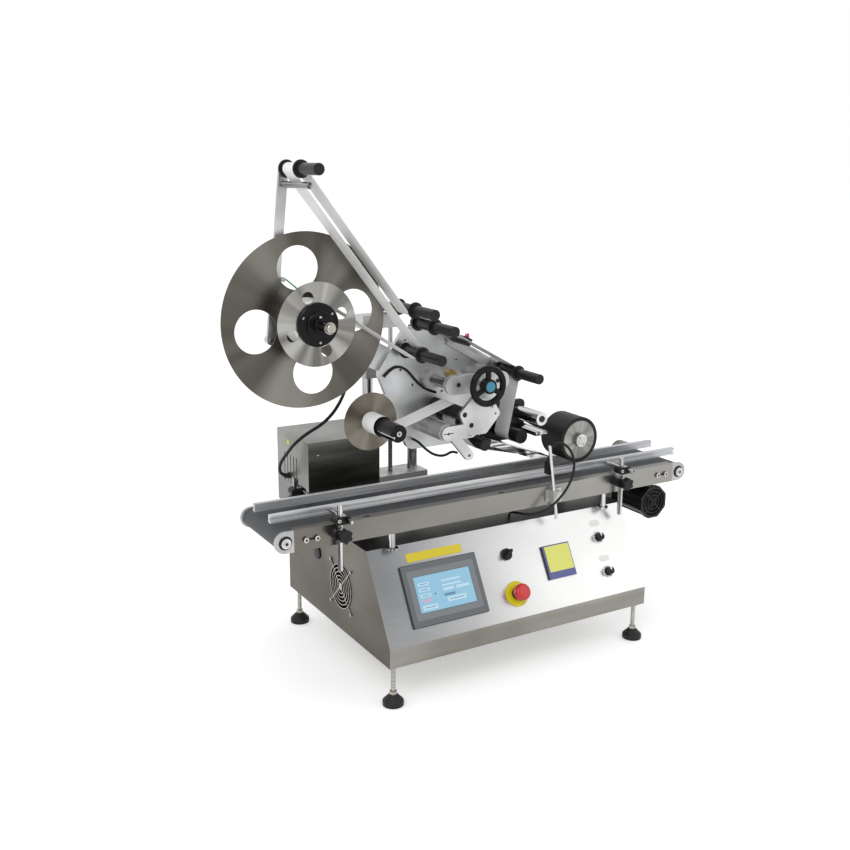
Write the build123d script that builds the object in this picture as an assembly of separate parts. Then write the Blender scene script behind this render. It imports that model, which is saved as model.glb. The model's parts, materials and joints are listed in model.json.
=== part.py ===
from build123d import *
import math
import os

# Bottle labelling machine for a bench: a label head on two columns feeds labels
# from a reel to a peel edge above a belt conveyor, which stands on a steel cabinet.
# X runs along the conveyor, Y away from the operator, Z up from the floor.
# The origin lies on the floor under the middle of the machine. All sizes are in mm.

# Everything is placed from the middle of the cabinet, then moved by this much
# so that the origin lies under the middle of the whole machine.
centre_shift = 33.0
depth_shift = 20.0

# Cabinet
cabinet_width = 730.0
cabinet_depth = 540.0
cabinet_front = -298.0
cabinet_bottom = 95.0
cabinet_height = 237.0
band_height = 45.0
panel_run = 111.0
sheet = 2.0
base_lip = 18.0
cut_over = 1.0
lug = 6.0
lug_length = 20.0

# Levelling feet
foot_inset = 18.0
foot_pad_radius = 24.0
foot_pad_height = 25.0
foot_neck_radius = 10.0
foot_stud_radius = 5.0
foot_nut_radius = 9.0
foot_nut_height = 8.0

# Touch panel, measured along the slanted front
screen_unit_width = 200.0
screen_unit_height = 141.0
screen_unit_x = -197.0
screen_unit_up = 102.0
screen_bezel_proud = 6.0
screen_body_depth = 34.0
screen_body_margin = 8.0
screen_glass_width = 148.0
screen_glass_height = 82.0
screen_glass_recess = 1.0
screen_glass_thickness = 1.5
screen_corner = 4.0

# Switches and dials on the slanted front
estop_x = -11.0
estop_up = 56.0
estop_ring_radius = 30.0
estop_ring_height = 3.0
estop_collar_radius = 15.0
estop_collar_height = 10.0
estop_head_radius = 20.0
estop_head_height = 17.0
estop_stem_radius = 9.0
estop_travel = 5.0
selector_x = -11.0
selector_up = 151.0
selector_ring_radius = 14.0
selector_ring_height = 6.0
selector_grip_width = 8.0
selector_grip_height = 14.0
dial_x = 266.0
dial_up = 145.0
dial_pitch = 87.0
dial_plate_radius = 15.0
dial_plate_height = 1.2
dial_knob_radius = 9.5
dial_knob_height = 15.0
dial_skirt_radius = 11.0
dial_skirt_height = 3.0
panel_hole_radius = 9.0
panel_stem_radius = 8.0
panel_stem_depth = 28.0
control_gap = 0.3

# Cooling fan in the left side
fan_size = 120.0
fan_y = -60.0
fan_z = 204.0
fan_depth = 25.0
fan_bore_radius = 57.0
fan_hub_radius = 20.0
fan_blade_count = 7
fan_blade_sweep = 32.0
fan_blade_thickness = 2.0
fan_blade_tip_gap = 1.5
fan_pin_radius = 3.0
fan_hole_pitch = 105.0
guard_wire = 2.2
guard_ring_pitch = 9.0
guard_ring_count = 6
fan_screw_radius = 3.0

# Belt conveyor
conveyor_offset = -12.0
conveyor_width = 200.0
conveyor_front = -208.0
frame_bottom = 370.0
frame_height = 47.5
hub_span = 1105.0
end_plate_length = 20.0
end_plate_thickness = 8.0
hub_boss_radius = 11.0
hub_boss_height = 3.0
side_plate_thickness = 4.0
top_flange = 24.0
bottom_flange = 14.0
flange_thickness = 3.0
flange_slot_length = 16.0
flange_slot_width = 7.0
flange_slot_count = 3
roller_radius = 17.5
roller_axle_radius = 7.5
belt_thickness = 2.0
belt_gap = 0.3
belt_side_gap = 1.5
bed_lip = 10.0
cross_tube_radius = 9.0
cross_tube_count = 4
post_radius = 8.0
post_flange_radius = 14.0
post_flange_height = 4.0
post_x_left = -307.0
post_x_right = 296.0
tension_screw_radius = 4.0
tension_screw_height = 2.5
tension_screw_pitch = 26.0

# Conveyor drive under the right end
motor_x = 476.0
motor_z = 315.0
motor_radius = 42.0
motor_front = -193.0
motor_length = 118.0
gearbox_width = 80.0
gearbox_length = 46.0
motor_fin_count = 8
motor_guard_depth = 14.0
motor_guard_wall = 3.0
motor_shaft_radius = 7.0
pulley_radius = 19.0
pulley_width = 16.0
pulley_flange_radius = 22.0
pulley_flange_width = 1.5
timing_belt_thickness = 3.0
timing_belt_width = 12.0
drive_plate_thickness = 5.0
drive_cover_wall = 2.0
drive_cover_depth = 30.0
drive_cover_margin = 9.0

# Guide rails and their brackets
rail_length = 1150.0
rail_height = 18.0
rail_depth = 12.0
rail_slot = 8.0
rail_slot_depth = 4.0
rail_z = 431.0
front_rail_y = -148.0
back_rail_y = -60.0
bracket_x_left = -445.0
bracket_x_right = 333.0
bracket_post_radius = 6.0
bracket_post_low = 315.0
back_post_lift = 26.0
bracket_post_high = 462.0
bracket_out = 15.0
holder_width = 26.0
holder_radius = 11.0
holder_reach = 10.0
holder_right = 2.0
holder_z = 400.0
clamp_radius = 9.5
clamp_tail = 6.0
clamp_depth = 22.0
rail_rod_radius = 5.0
rail_rod_tail = 30.0
rail_knob_radius = 16.0
rail_knob_height = 14.0
rail_knob_lobes = 6
rail_knob_stem = 3.0
rail_knob_stem_radius = 5.0
rail_knob_bite = 6.0
running_gap = 0.05

# Driver box behind the conveyor
driver_box_left = -380.0
driver_box_width = 193.0
driver_box_depth = 188.0
driver_box_height = 186.0
driver_box_y = 80.0
box_sheet = 1.5
louvre_count = 5
louvre_width = 4.0
louvre_height = 74.0
louvre_pitch = 18.0
louvre_inset = 43.0
louvre_drop = 53.0

# Columns that carry the label head
column_radius = 13.5
column_x_left = -158.0
column_x_right = -25.0
column_y = 200.0
column_top = 764.0
pedestal_width = 166.0
pedestal_depth = 70.0
pedestal_height = 26.0
slab_width = 186.0
slab_depth = 80.0
slab_height = 22.0
top_block_height = 34.0
top_block_depth = 44.0
top_block_margin = 10.0
lift_screw_radius = 6.0
lift_wheel_radius = 34.0
lift_wheel_height = 16.0
lift_wheel_rise = 8.0
lift_wheel_lobes = 8

# Carriage on the columns and the cross slide
carriage_low = 640.0
carriage_high = 700.0
carriage_depth = 64.0
carriage_margin = 8.0
cross_shaft_radius = 13.0
cross_shaft_x_left = -130.0
cross_shaft_x_right = 0.0
cross_z = 680.0
cross_front = -170.0
cross_plate_thickness = 14.0
cross_plate_radius = 22.0
cross_screw_radius = 5.0
cross_screw_overhang = 50.0
wheel_radius = 48.0
wheel_rim_radius = 7.5
wheel_hub_radius = 17.0
wheel_hub_length = 20.0
wheel_spoke_radius = 6.5
wheel_cap_radius = 12.0
wheel_cap_height = 1.5
wheel_spoke_count = 3
bush_radius = 22.0
bush_length = 35.0
nut_radius = 12.0
nut_length = 14.0

# Label head plates
plate_front = -48.0
plate_thickness = 12.0
plate_corner = 24.0
plate_top_left = (-190.0, 800.0)
plate_shoulder = (-112.0, 800.0)
plate_top_right = (62.0, 704.0)
plate_right = (86.0, 672.0)
plate_right_low = (84.0, 560.0)
plate_foot_right = (-10.0, 508.0)
plate_foot_left = (-180.0, 508.0)
plate_left = (-262.0, 700.0)
rewind_lobe_radius = 34.0
tab_thickness = 2.0
tab_corner = 6.0
tab_left = (56.0, 712.0)
tab_right = (104.0, 686.0)
tab_low = (66.0, 676.0)
side_plate_front = -180.0
side_plate_depth = 10.0
tie_tube_x = -149.0
tie_tube_z = 572.0
tie_tube_radius = 20.0
clamp_slit = 2.0
side_lobe_radius = 12.0
side_bar_radius = 17.0
side_slot_length = 26.0
side_slot_hole_radius = 3.0
side_top_left = (-77.0, 641.0)
side_top_right = (-33.0, 623.0)
side_right = (-22.0, 606.0)
side_right_low = (-52.0, 573.0)
side_hole_radius = 2.5
arm_hole_radius = 3.5
arm_low_x = -92.0
arm_low_z = 514.0
arm_low_radius = 12.0

# Label web and the rollers that guide it
web_centre = -106.0
web_width = 56.0
web_thickness = 0.4
roller_front = -228.0
guide_radius = 12.0
guide_flange_radius = 18.5
guide_flange_width = 4.0
guide_flange_pitch = 73.0
guide_bore_radius = 4.0
cap_recess = 2.0
lower_guide_x = -198.0
lower_guide_z = 751.0
first_guide_x = -217.0
first_guide_z = 852.0
second_guide_x = -166.0
second_guide_z = 812.0
fourth_guide_x = 66.0
fourth_guide_z = 686.0
top_guide_x = -484.0
top_guide_z = 1153.0
traction_x = -88.0
traction_z = 585.0
traction_radius = 15.0
pinch_radius = 16.0
pinch_turn = 124.7
hold_down_x = 65.0
hold_down_z = 536.0
hold_down_radius = 17.0
liner_guide_x = -38.0
liner_guide_z = 528.0
liner_guide_radius = 14.0
journal_radius = 6.0
short_roller_front = -166.0

# Label reel
reel_x = -451.0
reel_z = 836.0
reel_back_radius = 190.0
reel_front_radius = 90.0
disc_thickness = 2.0
disc_hole_radius = 47.0
disc_hole_ring = 115.0
disc_hole_angle = 8.0
front_hole_radius = 13.0
front_hole_ring = 60.0
front_hole_angle = 20.0
hub_radius = 47.0
hub_wall = 5.0
core_gap = 1.0
roll_thickness = 4.0
spindle_radius = 10.0
spindle_front = -208.0
drum_radius = 45.0
drum_groove_depth = 3.0
drum_width = 12.0
reel_arm_thickness = 12.0
reel_arm_radius = 30.0
reel_arm_foot_x = -185.0
reel_arm_foot_z = 700.0
housing_radius = 25.0

# Dancer arm with its top roller and brake
dancer_pivot_x = -521.0
dancer_pivot_z = 795.0
dancer_width = 20.0
dancer_thickness = 8.0
dancer_back = -48.0
dancer_pin_radius = 5.0
link_thickness = 8.0
link_end_radius = 9.0
guide_rod_radius = 7.0
guide_rod_drop = 32.0
guide_rod_front = -188.0
anchor_z = 926.0
anchor_radius = 5.0
brake_cord_radius = 1.6
brake_wrap_end = -100.0

# Rewind mandrel
rewind_x = -294.0
rewind_z = 596.0
rewind_disc_radius = 67.0
mandrel_radius = 20.0
mandrel_slot = 7.0
mandrel_slot_depth = 6.0
mandrel_rod_radius = 2.5
mandrel_front = -208.0
liner_roll_thickness = 3.5

# Peel plate, its nose plate and the pressing roller
peel_top_x = -14.0
peel_top_z = 535.0
peel_edge_x = 184.0
peel_edge_z = 460.0
peel_thickness = 4.0
peel_taper = 40.0
peel_width = 84.0
peel_edge_radius = 1.2
peel_bar_width = 6.0
peel_bar_height = 14.0
nose_thickness = 10.0
nose_corner = 12.0
nose_left = 24.0
nose_right = 150.0
nose_top = 600.0
nose_low = 500.0
press_x = 248.0
press_z = 504.0
press_radius = 57.0
press_front = -158.0
press_back = -76.0
press_disc_radius = 48.0
press_disc_thickness = 3.0
press_tyre_thickness = 9.0
press_axle_radius = 8.0
press_boss_radius = 17.0
press_boss_height = 8.0
press_arm_thickness = 9.0
press_arm_radius = 16.0
press_pivot_x = 125.0
press_pivot_z = 572.0
pivot_tube_radius = 16.0
beam_width = 34.0
beam_height = 10.0
beam_drop = 31.0

# Traction motor behind the main plate
traction_motor_size = 84.0
traction_motor_length = 50.0

# Bottle sensor on the conveyor
sensor_x = 132.0
sensor_rod_radius = 4.0
sensor_rod_top_x = 108.0
sensor_rod_top_z = 520.0
sensor_rod_low_x = 137.0
sensor_rod_low_z = 335.0
sensor_plate_width = 44.0
sensor_plate_height = 30.0
sensor_plate_thickness = 4.0
sensor_head_width = 12.0
sensor_head_height = 30.0
sensor_head_depth = 18.0
sensor_z = 462.0

# Label sensor, a fork over the web with its bar
sensor_fork_x = -64.0
sensor_fork_length = 18.0
sensor_fork_height = 18.0
sensor_throat = 5.0
sensor_bar_depth = 6.0
sensor_bar_height = 14.0
sensor_bar_length = 130.0
sensor_bar_share = 0.19

# Power inlet at the back
inlet_x = 250.0
inlet_z = 160.0
inlet_width = 48.0
inlet_height = 28.0
inlet_depth = 26.0
inlet_lip = 3.0
inlet_socket_width = 25.0
inlet_socket_height = 17.0

# Cables
cable_radius = 3.0
harness_radius = 4.0

# Worked out from the values above
cabinet_top = cabinet_bottom + cabinet_height
cabinet_back = cabinet_front + cabinet_depth
band_top = cabinet_bottom + band_height
slope_rise = cabinet_top - band_top
slope_angle = math.degrees(math.atan2(slope_rise, panel_run))
slope_length = math.hypot(slope_rise, panel_run)
conveyor_back = conveyor_front + conveyor_width
frame_top = frame_bottom + frame_height
hub_z = frame_bottom + frame_height / 2
hub_left = conveyor_offset - hub_span / 2
hub_right = conveyor_offset + hub_span / 2
plate_back = plate_front + plate_thickness
rod_shift = bracket_post_radius + rail_rod_radius + control_gap
web_front = web_centre - web_width / 2
web_back = web_centre + web_width / 2
dancer_front = dancer_back - dancer_thickness
peel_slope = math.degrees(math.atan2(peel_top_z - peel_edge_z, peel_edge_x - peel_top_x))
nip = traction_radius + pinch_radius + 3 * belt_gap + web_thickness
pinch_x = traction_x + nip * math.cos(math.radians(pinch_turn))
pinch_z = traction_z + nip * math.sin(math.radians(pinch_turn))


def along_y(x, z, front, back, radius):
    return Pos(x, (front + back) / 2, z) * Rot(90, 0, 0) * Cylinder(radius, back - front)


def along_x(y, z, left, right, radius):
    return Pos((left + right) / 2, y, z) * Rot(0, 90, 0) * Cylinder(radius, right - left)


def along_z(x, y, low, high, radius):
    return Pos(x, y, (low + high) / 2) * Cylinder(radius, high - low)


def block(left, right, front, back, low, high):
    middle = Pos((left + right) / 2, (front + back) / 2, (low + high) / 2)
    return middle * Box(right - left, back - front, high - low)


def upright(sketch, front, back):
    # A sketch drawn in X and Z becomes a plate between two Y planes.
    return Pos(0, back, 0) * extrude(Plane.XZ * sketch, back - front)


def hull(circles):
    edges = [edge for x, z, radius in circles for edge in (Pos(x, z) * Circle(radius)).edges()]
    return make_hull(edges)


def outline(points, corner=0.0):
    face = make_face(Polyline(*points, close=True))
    return fillet(face.vertices(), corner) if corner else face


def on_panel(x, up):
    # A place on the slanted front, with Z out of the panel and Y up its slope.
    y = cabinet_front + up * math.cos(math.radians(slope_angle))
    z = band_top + up * math.sin(math.radians(slope_angle))
    return Plane((x, y, z), x_dir=(1, 0, 0), z_dir=(0, -slope_rise, panel_run))


def lobed(radius, lobes, depth_share=0.22):
    face = Circle(radius)
    for turn in range(lobes):
        angle = 360 * turn / lobes
        notch = Rot(0, 0, angle) * Pos(radius * (1 + depth_share), 0) * Circle(radius * 2 * depth_share)
        face -= notch
    return face


def cabinet_profile(wall):
    lean = wall * math.tan(math.radians((90 - slope_angle) / 2))
    turn = wall * math.tan(math.radians(slope_angle / 2))
    points = [
        (cabinet_front + wall, cabinet_bottom),
        (cabinet_front + wall, band_top - lean),
        (cabinet_front + panel_run + turn, cabinet_top - wall),
        (cabinet_back - wall, cabinet_top - wall),
        (cabinet_back - wall, cabinet_bottom),
    ]
    return make_face(Polyline(*points, close=True))


def cabinet_shell():
    half = cabinet_width / 2
    outer = Pos(-half, 0, 0) * extrude(Plane.YZ * cabinet_profile(0), cabinet_width)
    inner = Pos(sheet - half, 0, 0) * extrude(Plane.YZ * cabinet_profile(sheet), cabinet_width - 2 * sheet)
    shell = outer - inner
    hole_width = screen_unit_width - 2 * screen_body_margin
    screen_hole = Box(hole_width, screen_unit_height - 2 * screen_body_margin, lug)
    shell -= on_panel(screen_unit_x, screen_unit_up) * screen_hole
    round_holes = [
        (estop_x, estop_up),
        (selector_x, selector_up),
        (dial_x, dial_up),
        (dial_x, dial_up - dial_pitch),
    ]
    for x, up in round_holes:
        shell -= on_panel(x, up) * Cylinder(panel_hole_radius, lug)
    shell -= along_x(fan_y, fan_z, -half - cut_over, -half + sheet + cut_over, fan_bore_radius - guard_wire)
    hole_width = inlet_width - 2 * inlet_lip + 2 * control_gap
    hole_height = inlet_height - 2 * inlet_lip + 2 * control_gap
    shell -= Pos(inlet_x, cabinet_back, inlet_z) * Box(hole_width, lug, hole_height)
    return shell


def cabinet_base():
    half = cabinet_width / 2 - sheet
    front = cabinet_front + sheet
    back = cabinet_back - sheet
    pan = block(-half, half, front, back, cabinet_bottom, cabinet_bottom + base_lip)
    pan -= block(
        sheet - half, half - sheet, front + sheet, back - sheet,
        cabinet_bottom + sheet, cabinet_bottom + base_lip + cut_over,
    )
    return pan


def levelling_feet():
    pieces = []
    x_places = (foot_inset - cabinet_width / 2, cabinet_width / 2 - foot_inset)
    y_places = (cabinet_front + foot_inset, cabinet_back - foot_inset)
    profile = Polyline(
        (0, 0), (foot_pad_radius, 0), (foot_pad_radius, foot_pad_height * 0.42),
        (foot_neck_radius, foot_pad_height), (0, foot_pad_height), (0, 0),
    )
    pad = revolve(Plane.XZ * make_face(profile), Axis.Z)
    stud = along_z(0, 0, foot_pad_height, cabinet_bottom, foot_stud_radius)
    for low in (foot_pad_height, cabinet_bottom - foot_nut_height):
        nut = extrude(RegularPolygon(foot_nut_radius, 6), foot_nut_height)
        stud += Pos(0, 0, low) * nut
    for x in x_places:
        for y in y_places:
            pieces.append(Pos(x, y, 0) * pad)
            pieces.append(Pos(x, y, 0) * stud)
    return pieces


def touch_panel():
    place = on_panel(screen_unit_x, screen_unit_up)
    face = RectangleRounded(screen_unit_width, screen_unit_height, screen_corner)
    bezel = extrude(face, screen_bezel_proud)
    body_width = screen_unit_width - 2 * screen_body_margin - 2 * control_gap
    body_height = screen_unit_height - 2 * screen_body_margin - 2 * control_gap
    bezel += Pos(0, 0, -screen_body_depth / 2) * Box(body_width, body_height, screen_body_depth)
    pocket = Box(screen_glass_width, screen_glass_height, 2 * screen_glass_thickness)
    pocket = Pos(0, 0, screen_bezel_proud) * pocket
    bezel -= pocket
    bezel = chamfer(bezel.faces().sort_by(Axis.Z)[-1].outer_wire().edges(), screen_glass_recess)
    glass_width = screen_glass_width - 2 * running_gap
    glass_height = screen_glass_height - 2 * running_gap
    glass = Pos(0, 0, screen_bezel_proud - screen_glass_thickness) * Box(
        glass_width, glass_height, screen_glass_recess, align=(Align.CENTER, Align.CENTER, Align.MIN)
    )
    return [place * bezel, place * glass]


def cabinet_fittings():
    pieces = []
    ring = Cylinder(estop_ring_radius, estop_ring_height, align=(Align.CENTER, Align.CENTER, Align.MIN))
    collar_top = estop_ring_height + estop_collar_height
    ring += Cylinder(estop_collar_radius, collar_top, align=(Align.CENTER, Align.CENTER, Align.MIN))
    ring += Pos(0, 0, -panel_stem_depth / 2) * Cylinder(panel_stem_radius, panel_stem_depth)
    ring -= Cylinder(panel_stem_radius - sheet + control_gap, 2 * (collar_top + cut_over))
    pieces.append(on_panel(estop_x, estop_up) * ring)
    standing = (Align.CENTER, Align.CENTER, Align.MIN)
    bezel = Cylinder(selector_ring_radius, selector_ring_height, align=standing)
    bezel += Pos(0, 0, -panel_stem_depth / 2) * Cylinder(panel_stem_radius, panel_stem_depth)
    pieces.append(on_panel(selector_x, selector_up) * bezel)
    for step in range(2):
        plate = Cylinder(dial_plate_radius, dial_plate_height, align=(Align.CENTER, Align.CENTER, Align.MIN))
        plate += Pos(0, 0, -panel_stem_depth / 2) * Cylinder(panel_stem_radius, panel_stem_depth)
        pieces.append(on_panel(dial_x, dial_up - step * dial_pitch) * plate)
    inlet = block(
        inlet_x - inlet_width / 2, inlet_x + inlet_width / 2, cabinet_back, cabinet_back + inlet_lip,
        inlet_z - inlet_height / 2, inlet_z + inlet_height / 2,
    )
    body_width = inlet_width - 2 * inlet_lip
    body_height = inlet_height - 2 * inlet_lip
    inlet += block(
        inlet_x - body_width / 2, inlet_x + body_width / 2, cabinet_back - inlet_depth, cabinet_back,
        inlet_z - body_height / 2, inlet_z + body_height / 2,
    )
    inlet -= block(
        inlet_x - inlet_socket_width / 2, inlet_x + inlet_socket_width / 2,
        cabinet_back - inlet_depth + inlet_lip, cabinet_back + 2 * inlet_lip,
        inlet_z - inlet_socket_height / 2, inlet_z + inlet_socket_height / 2,
    )
    pieces.append(inlet)
    return pieces


def estop_button():
    low = estop_ring_height + estop_collar_height + estop_travel + control_gap
    head = Cylinder(estop_head_radius, estop_head_height, align=(Align.CENTER, Align.CENTER, Align.MIN))
    head = fillet(head.faces().sort_by(Axis.Z)[-1].edges(), estop_head_height * 0.45)
    neck = Cylinder(panel_stem_radius - sheet, low, align=(Align.CENTER, Align.CENTER, Align.MIN))
    return on_panel(estop_x, estop_up) * (Pos(0, 0, low) * head + neck)


def selector_knob():
    low = selector_ring_height + control_gap
    disc = Cylinder(selector_ring_radius - sheet, sheet, align=(Align.CENTER, Align.CENTER, Align.MIN))
    grip_length = 2 * (selector_ring_radius - sheet - control_gap)
    grip = extrude(SlotOverall(grip_length, selector_grip_width), selector_grip_height)
    return on_panel(selector_x, selector_up) * Pos(0, 0, low) * Rot(0, 0, 45) * (disc + grip)


def speed_dial(up):
    low = dial_plate_height + control_gap
    skirt = Cylinder(dial_skirt_radius, dial_skirt_height, align=(Align.CENTER, Align.CENTER, Align.MIN))
    grip = extrude(Circle(dial_knob_radius), dial_knob_height, taper=3)
    knob = skirt + grip
    mark = Box(panel_stem_radius / 4, dial_knob_radius * 2, sheet)
    knob -= Pos(0, dial_skirt_radius, dial_knob_height) * mark
    return on_panel(dial_x, up) * Pos(0, 0, low) * knob


def side_fan():
    wall = -cabinet_width / 2
    frame = extrude(RectangleRounded(fan_size, fan_size, lug), fan_depth)
    frame -= Cylinder(fan_bore_radius, 4 * fan_depth)
    hub_back = Pos(0, 0, fan_depth - guard_wire) * Cylinder(
        fan_hub_radius, guard_wire, align=(Align.CENTER, Align.CENTER, Align.MIN)
    )
    strut = Pos(0, 0, fan_depth - guard_wire / 2) * Box(2 * fan_bore_radius + guard_wire, lug, guard_wire)
    frame += hub_back + Rot(0, 0, 45) * strut + Rot(0, 0, -45) * strut
    frame += Pos(0, 0, fan_depth * 0.6) * Cylinder(fan_pin_radius, fan_depth * 0.6)
    guard = Cylinder(guard_ring_pitch, guard_wire)
    for step in range(1, guard_ring_count):
        radius = guard_ring_pitch * (step + 1)
        guard += Cylinder(radius, guard_wire) - Cylinder(radius - guard_wire, guard_wire)
    leg = Box(fan_hole_pitch * math.sqrt(2), guard_wire, guard_wire)
    guard += Rot(0, 0, 45) * leg + Rot(0, 0, -45) * leg
    for x in (-fan_hole_pitch / 2, fan_hole_pitch / 2):
        for y in (-fan_hole_pitch / 2, fan_hole_pitch / 2):
            guard += Pos(x, y) * Cylinder(fan_screw_radius, guard_wire)
    inside = Pos(wall + sheet, fan_y, fan_z) * Rot(0, 90, 0) * frame
    outside = Pos(wall - guard_wire / 2, fan_y, fan_z) * Rot(0, 90, 0) * guard
    return [inside, outside]


def fan_rotor():
    length = fan_depth - 2 * guard_wire
    hub = Cylinder(fan_hub_radius, length, align=(Align.CENTER, Align.CENTER, Align.MIN))
    span = fan_bore_radius - fan_blade_tip_gap - fan_hub_radius + sheet
    for turn in range(fan_blade_count):
        blade = Pos(fan_hub_radius - sheet + span / 2, 0, length / 2) * Rot(fan_blade_sweep, 0, 0)
        blade = blade * Box(span, fan_blade_thickness, length * 0.9)
        hub += Rot(0, 0, 360 * turn / fan_blade_count) * blade
    hub -= Pos(0, 0, fan_depth * 0.6) * Cylinder(fan_pin_radius + running_gap, fan_depth * 0.7)
    place = Pos(sheet + control_gap - cabinet_width / 2, fan_y, fan_z) * Rot(0, 90, 0)
    return place * hub


def standoff_posts():
    pieces = []
    rows = (conveyor_front + bottom_flange / 2, conveyor_back - bottom_flange / 2)
    for x in (post_x_left, post_x_right):
        for y in rows:
            post = along_z(x, y, cabinet_top, frame_bottom, post_radius)
            post += along_z(x, y, cabinet_top, cabinet_top + post_flange_height, post_flange_radius)
            pieces.append(post)
    return pieces


def conveyor_side_plates():
    # Rolled channels with a wide top flange that covers the belt's edge.
    left = hub_left + end_plate_length
    length = hub_span - 2 * end_plate_length
    pieces = []
    for front, sign in ((conveyor_front, 1), (conveyor_back, -1)):
        web = (front, front + sign * side_plate_thickness)
        section = make_face(Polyline(
            (web[0], frame_bottom), (web[0], frame_top), (front + sign * top_flange, frame_top),
            (front + sign * top_flange, frame_top - flange_thickness), (web[1], frame_top - flange_thickness),
            (web[1], frame_bottom + flange_thickness),
        (front + sign * bottom_flange, frame_bottom + flange_thickness),
            (front + sign * bottom_flange, frame_bottom), close=True,
        ))
        channel = Pos(left, 0, 0) * extrude(Plane.YZ * section, length)
        for step in range(flange_slot_count):
            x = left + length * (2 * step + 1) / (2 * flange_slot_count)
            slot = extrude(SlotOverall(flange_slot_length, flange_slot_width), 2 * flange_thickness)
            channel -= Pos(x, front + sign * top_flange / 2, frame_top - flange_thickness * 1.5) * slot
        pieces.append(channel)
    return pieces


def conveyor_bed():
    front = conveyor_front + side_plate_thickness + belt_side_gap
    back = conveyor_back - side_plate_thickness - belt_side_gap
    left = hub_left + end_plate_length + control_gap
    right = hub_right - end_plate_length - control_gap
    top = hub_z + roller_radius
    bed = block(left, right, front, back, top - flange_thickness, top)
    for y in (front, back - flange_thickness):
        bed += block(left, right, y, y + flange_thickness, top - bed_lip, top)
    pieces = [bed]
    for step in range(cross_tube_count):
        x = hub_left + hub_span * (step + 1) / (cross_tube_count + 1)
        tube_front = conveyor_front + side_plate_thickness
        tube_back = conveyor_back - side_plate_thickness
        middle = top - flange_thickness - cross_tube_radius
        pieces.append(along_y(x, middle, tube_front, tube_back, cross_tube_radius))
    return pieces


def conveyor_belt():
    front = conveyor_front + end_plate_thickness + belt_side_gap
    back = conveyor_back - end_plate_thickness - belt_side_gap
    inner = roller_radius + belt_gap
    outer = inner + belt_thickness
    ends = [(hub_left, hub_z), (hub_right, hub_z)]
    loop = hull([(x, z, outer) for x, z in ends]) - hull([(x, z, inner) for x, z in ends])
    return upright(loop, front, back)


def conveyor_end_plates():
    pieces = []
    half = frame_height / 2
    for hub, sign in ((hub_left, 1), (hub_right, -1)):
        inner = hub + sign * end_plate_length
        for front in (conveyor_front, conveyor_back - end_plate_thickness):
            back = front + end_plate_thickness
            plate = upright(Pos(hub, hub_z) * Circle(half), front, back)
            plate += block(min(hub, inner), max(hub, inner), front, back, hub_z - half, hub_z + half)
            plate &= block(
                min(hub - sign * half, inner), max(hub - sign * half, inner),
            front, back, hub_z - half, hub_z + half,
            )
            plate -= along_y(hub, hub_z, front - cut_over, back + cut_over, roller_axle_radius + running_gap)
            outside = front == conveyor_front
            face = front if outside else back
            ends = (face - tension_screw_height, face) if outside else (face, face + tension_screw_height)
            for step in range(2 if outside or hub == hub_left else 0):
                screw_x = inner + sign * tension_screw_pitch * (step + 1)
                pieces.append(along_y(screw_x, hub_z, *ends, tension_screw_radius))
            pieces.append(plate)
    return pieces


def conveyor_roller(hub, tail):
    front = conveyor_front + end_plate_thickness + belt_side_gap
    back = conveyor_back - end_plate_thickness - belt_side_gap
    barrel = along_y(hub, hub_z, front, back, roller_radius)
    axle_front = conveyor_front - hub_boss_height
    axle = along_y(hub, hub_z, axle_front, conveyor_back + tail, roller_axle_radius)
    bolt = along_y(hub, hub_z, axle_front - hub_boss_height, conveyor_front - control_gap, hub_boss_radius)
    return barrel + axle + bolt


def pulley(x, z, front):
    body = along_y(x, z, front, front + pulley_width, pulley_radius)
    for low in (front, front + pulley_width - pulley_flange_width):
        body += along_y(x, z, low, low + pulley_flange_width, pulley_flange_radius)
    return body


def drive_roller():
    tail = drive_plate_thickness + pulley_width + sheet
    front = conveyor_back + drive_plate_thickness + sheet / 2
    return conveyor_roller(hub_right, tail) + pulley(hub_right, hub_z, front)


def motor_pulley():
    front = conveyor_back + drive_plate_thickness + sheet / 2
    shaft_front = conveyor_back - gearbox_length / 2
    shaft = along_y(motor_x, motor_z, shaft_front, front + pulley_width, motor_shaft_radius)
    return shaft + pulley(motor_x, motor_z, front)


def timing_belt():
    inner = pulley_radius + belt_gap
    outer = inner + timing_belt_thickness
    ends = [(motor_x, motor_z), (hub_right, hub_z)]
    loop = hull([(x, z, outer) for x, z in ends]) - hull([(x, z, inner) for x, z in ends])
    middle = conveyor_back + drive_plate_thickness + (sheet + pulley_width) / 2
    return upright(loop, middle - timing_belt_width / 2, middle + timing_belt_width / 2)


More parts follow.
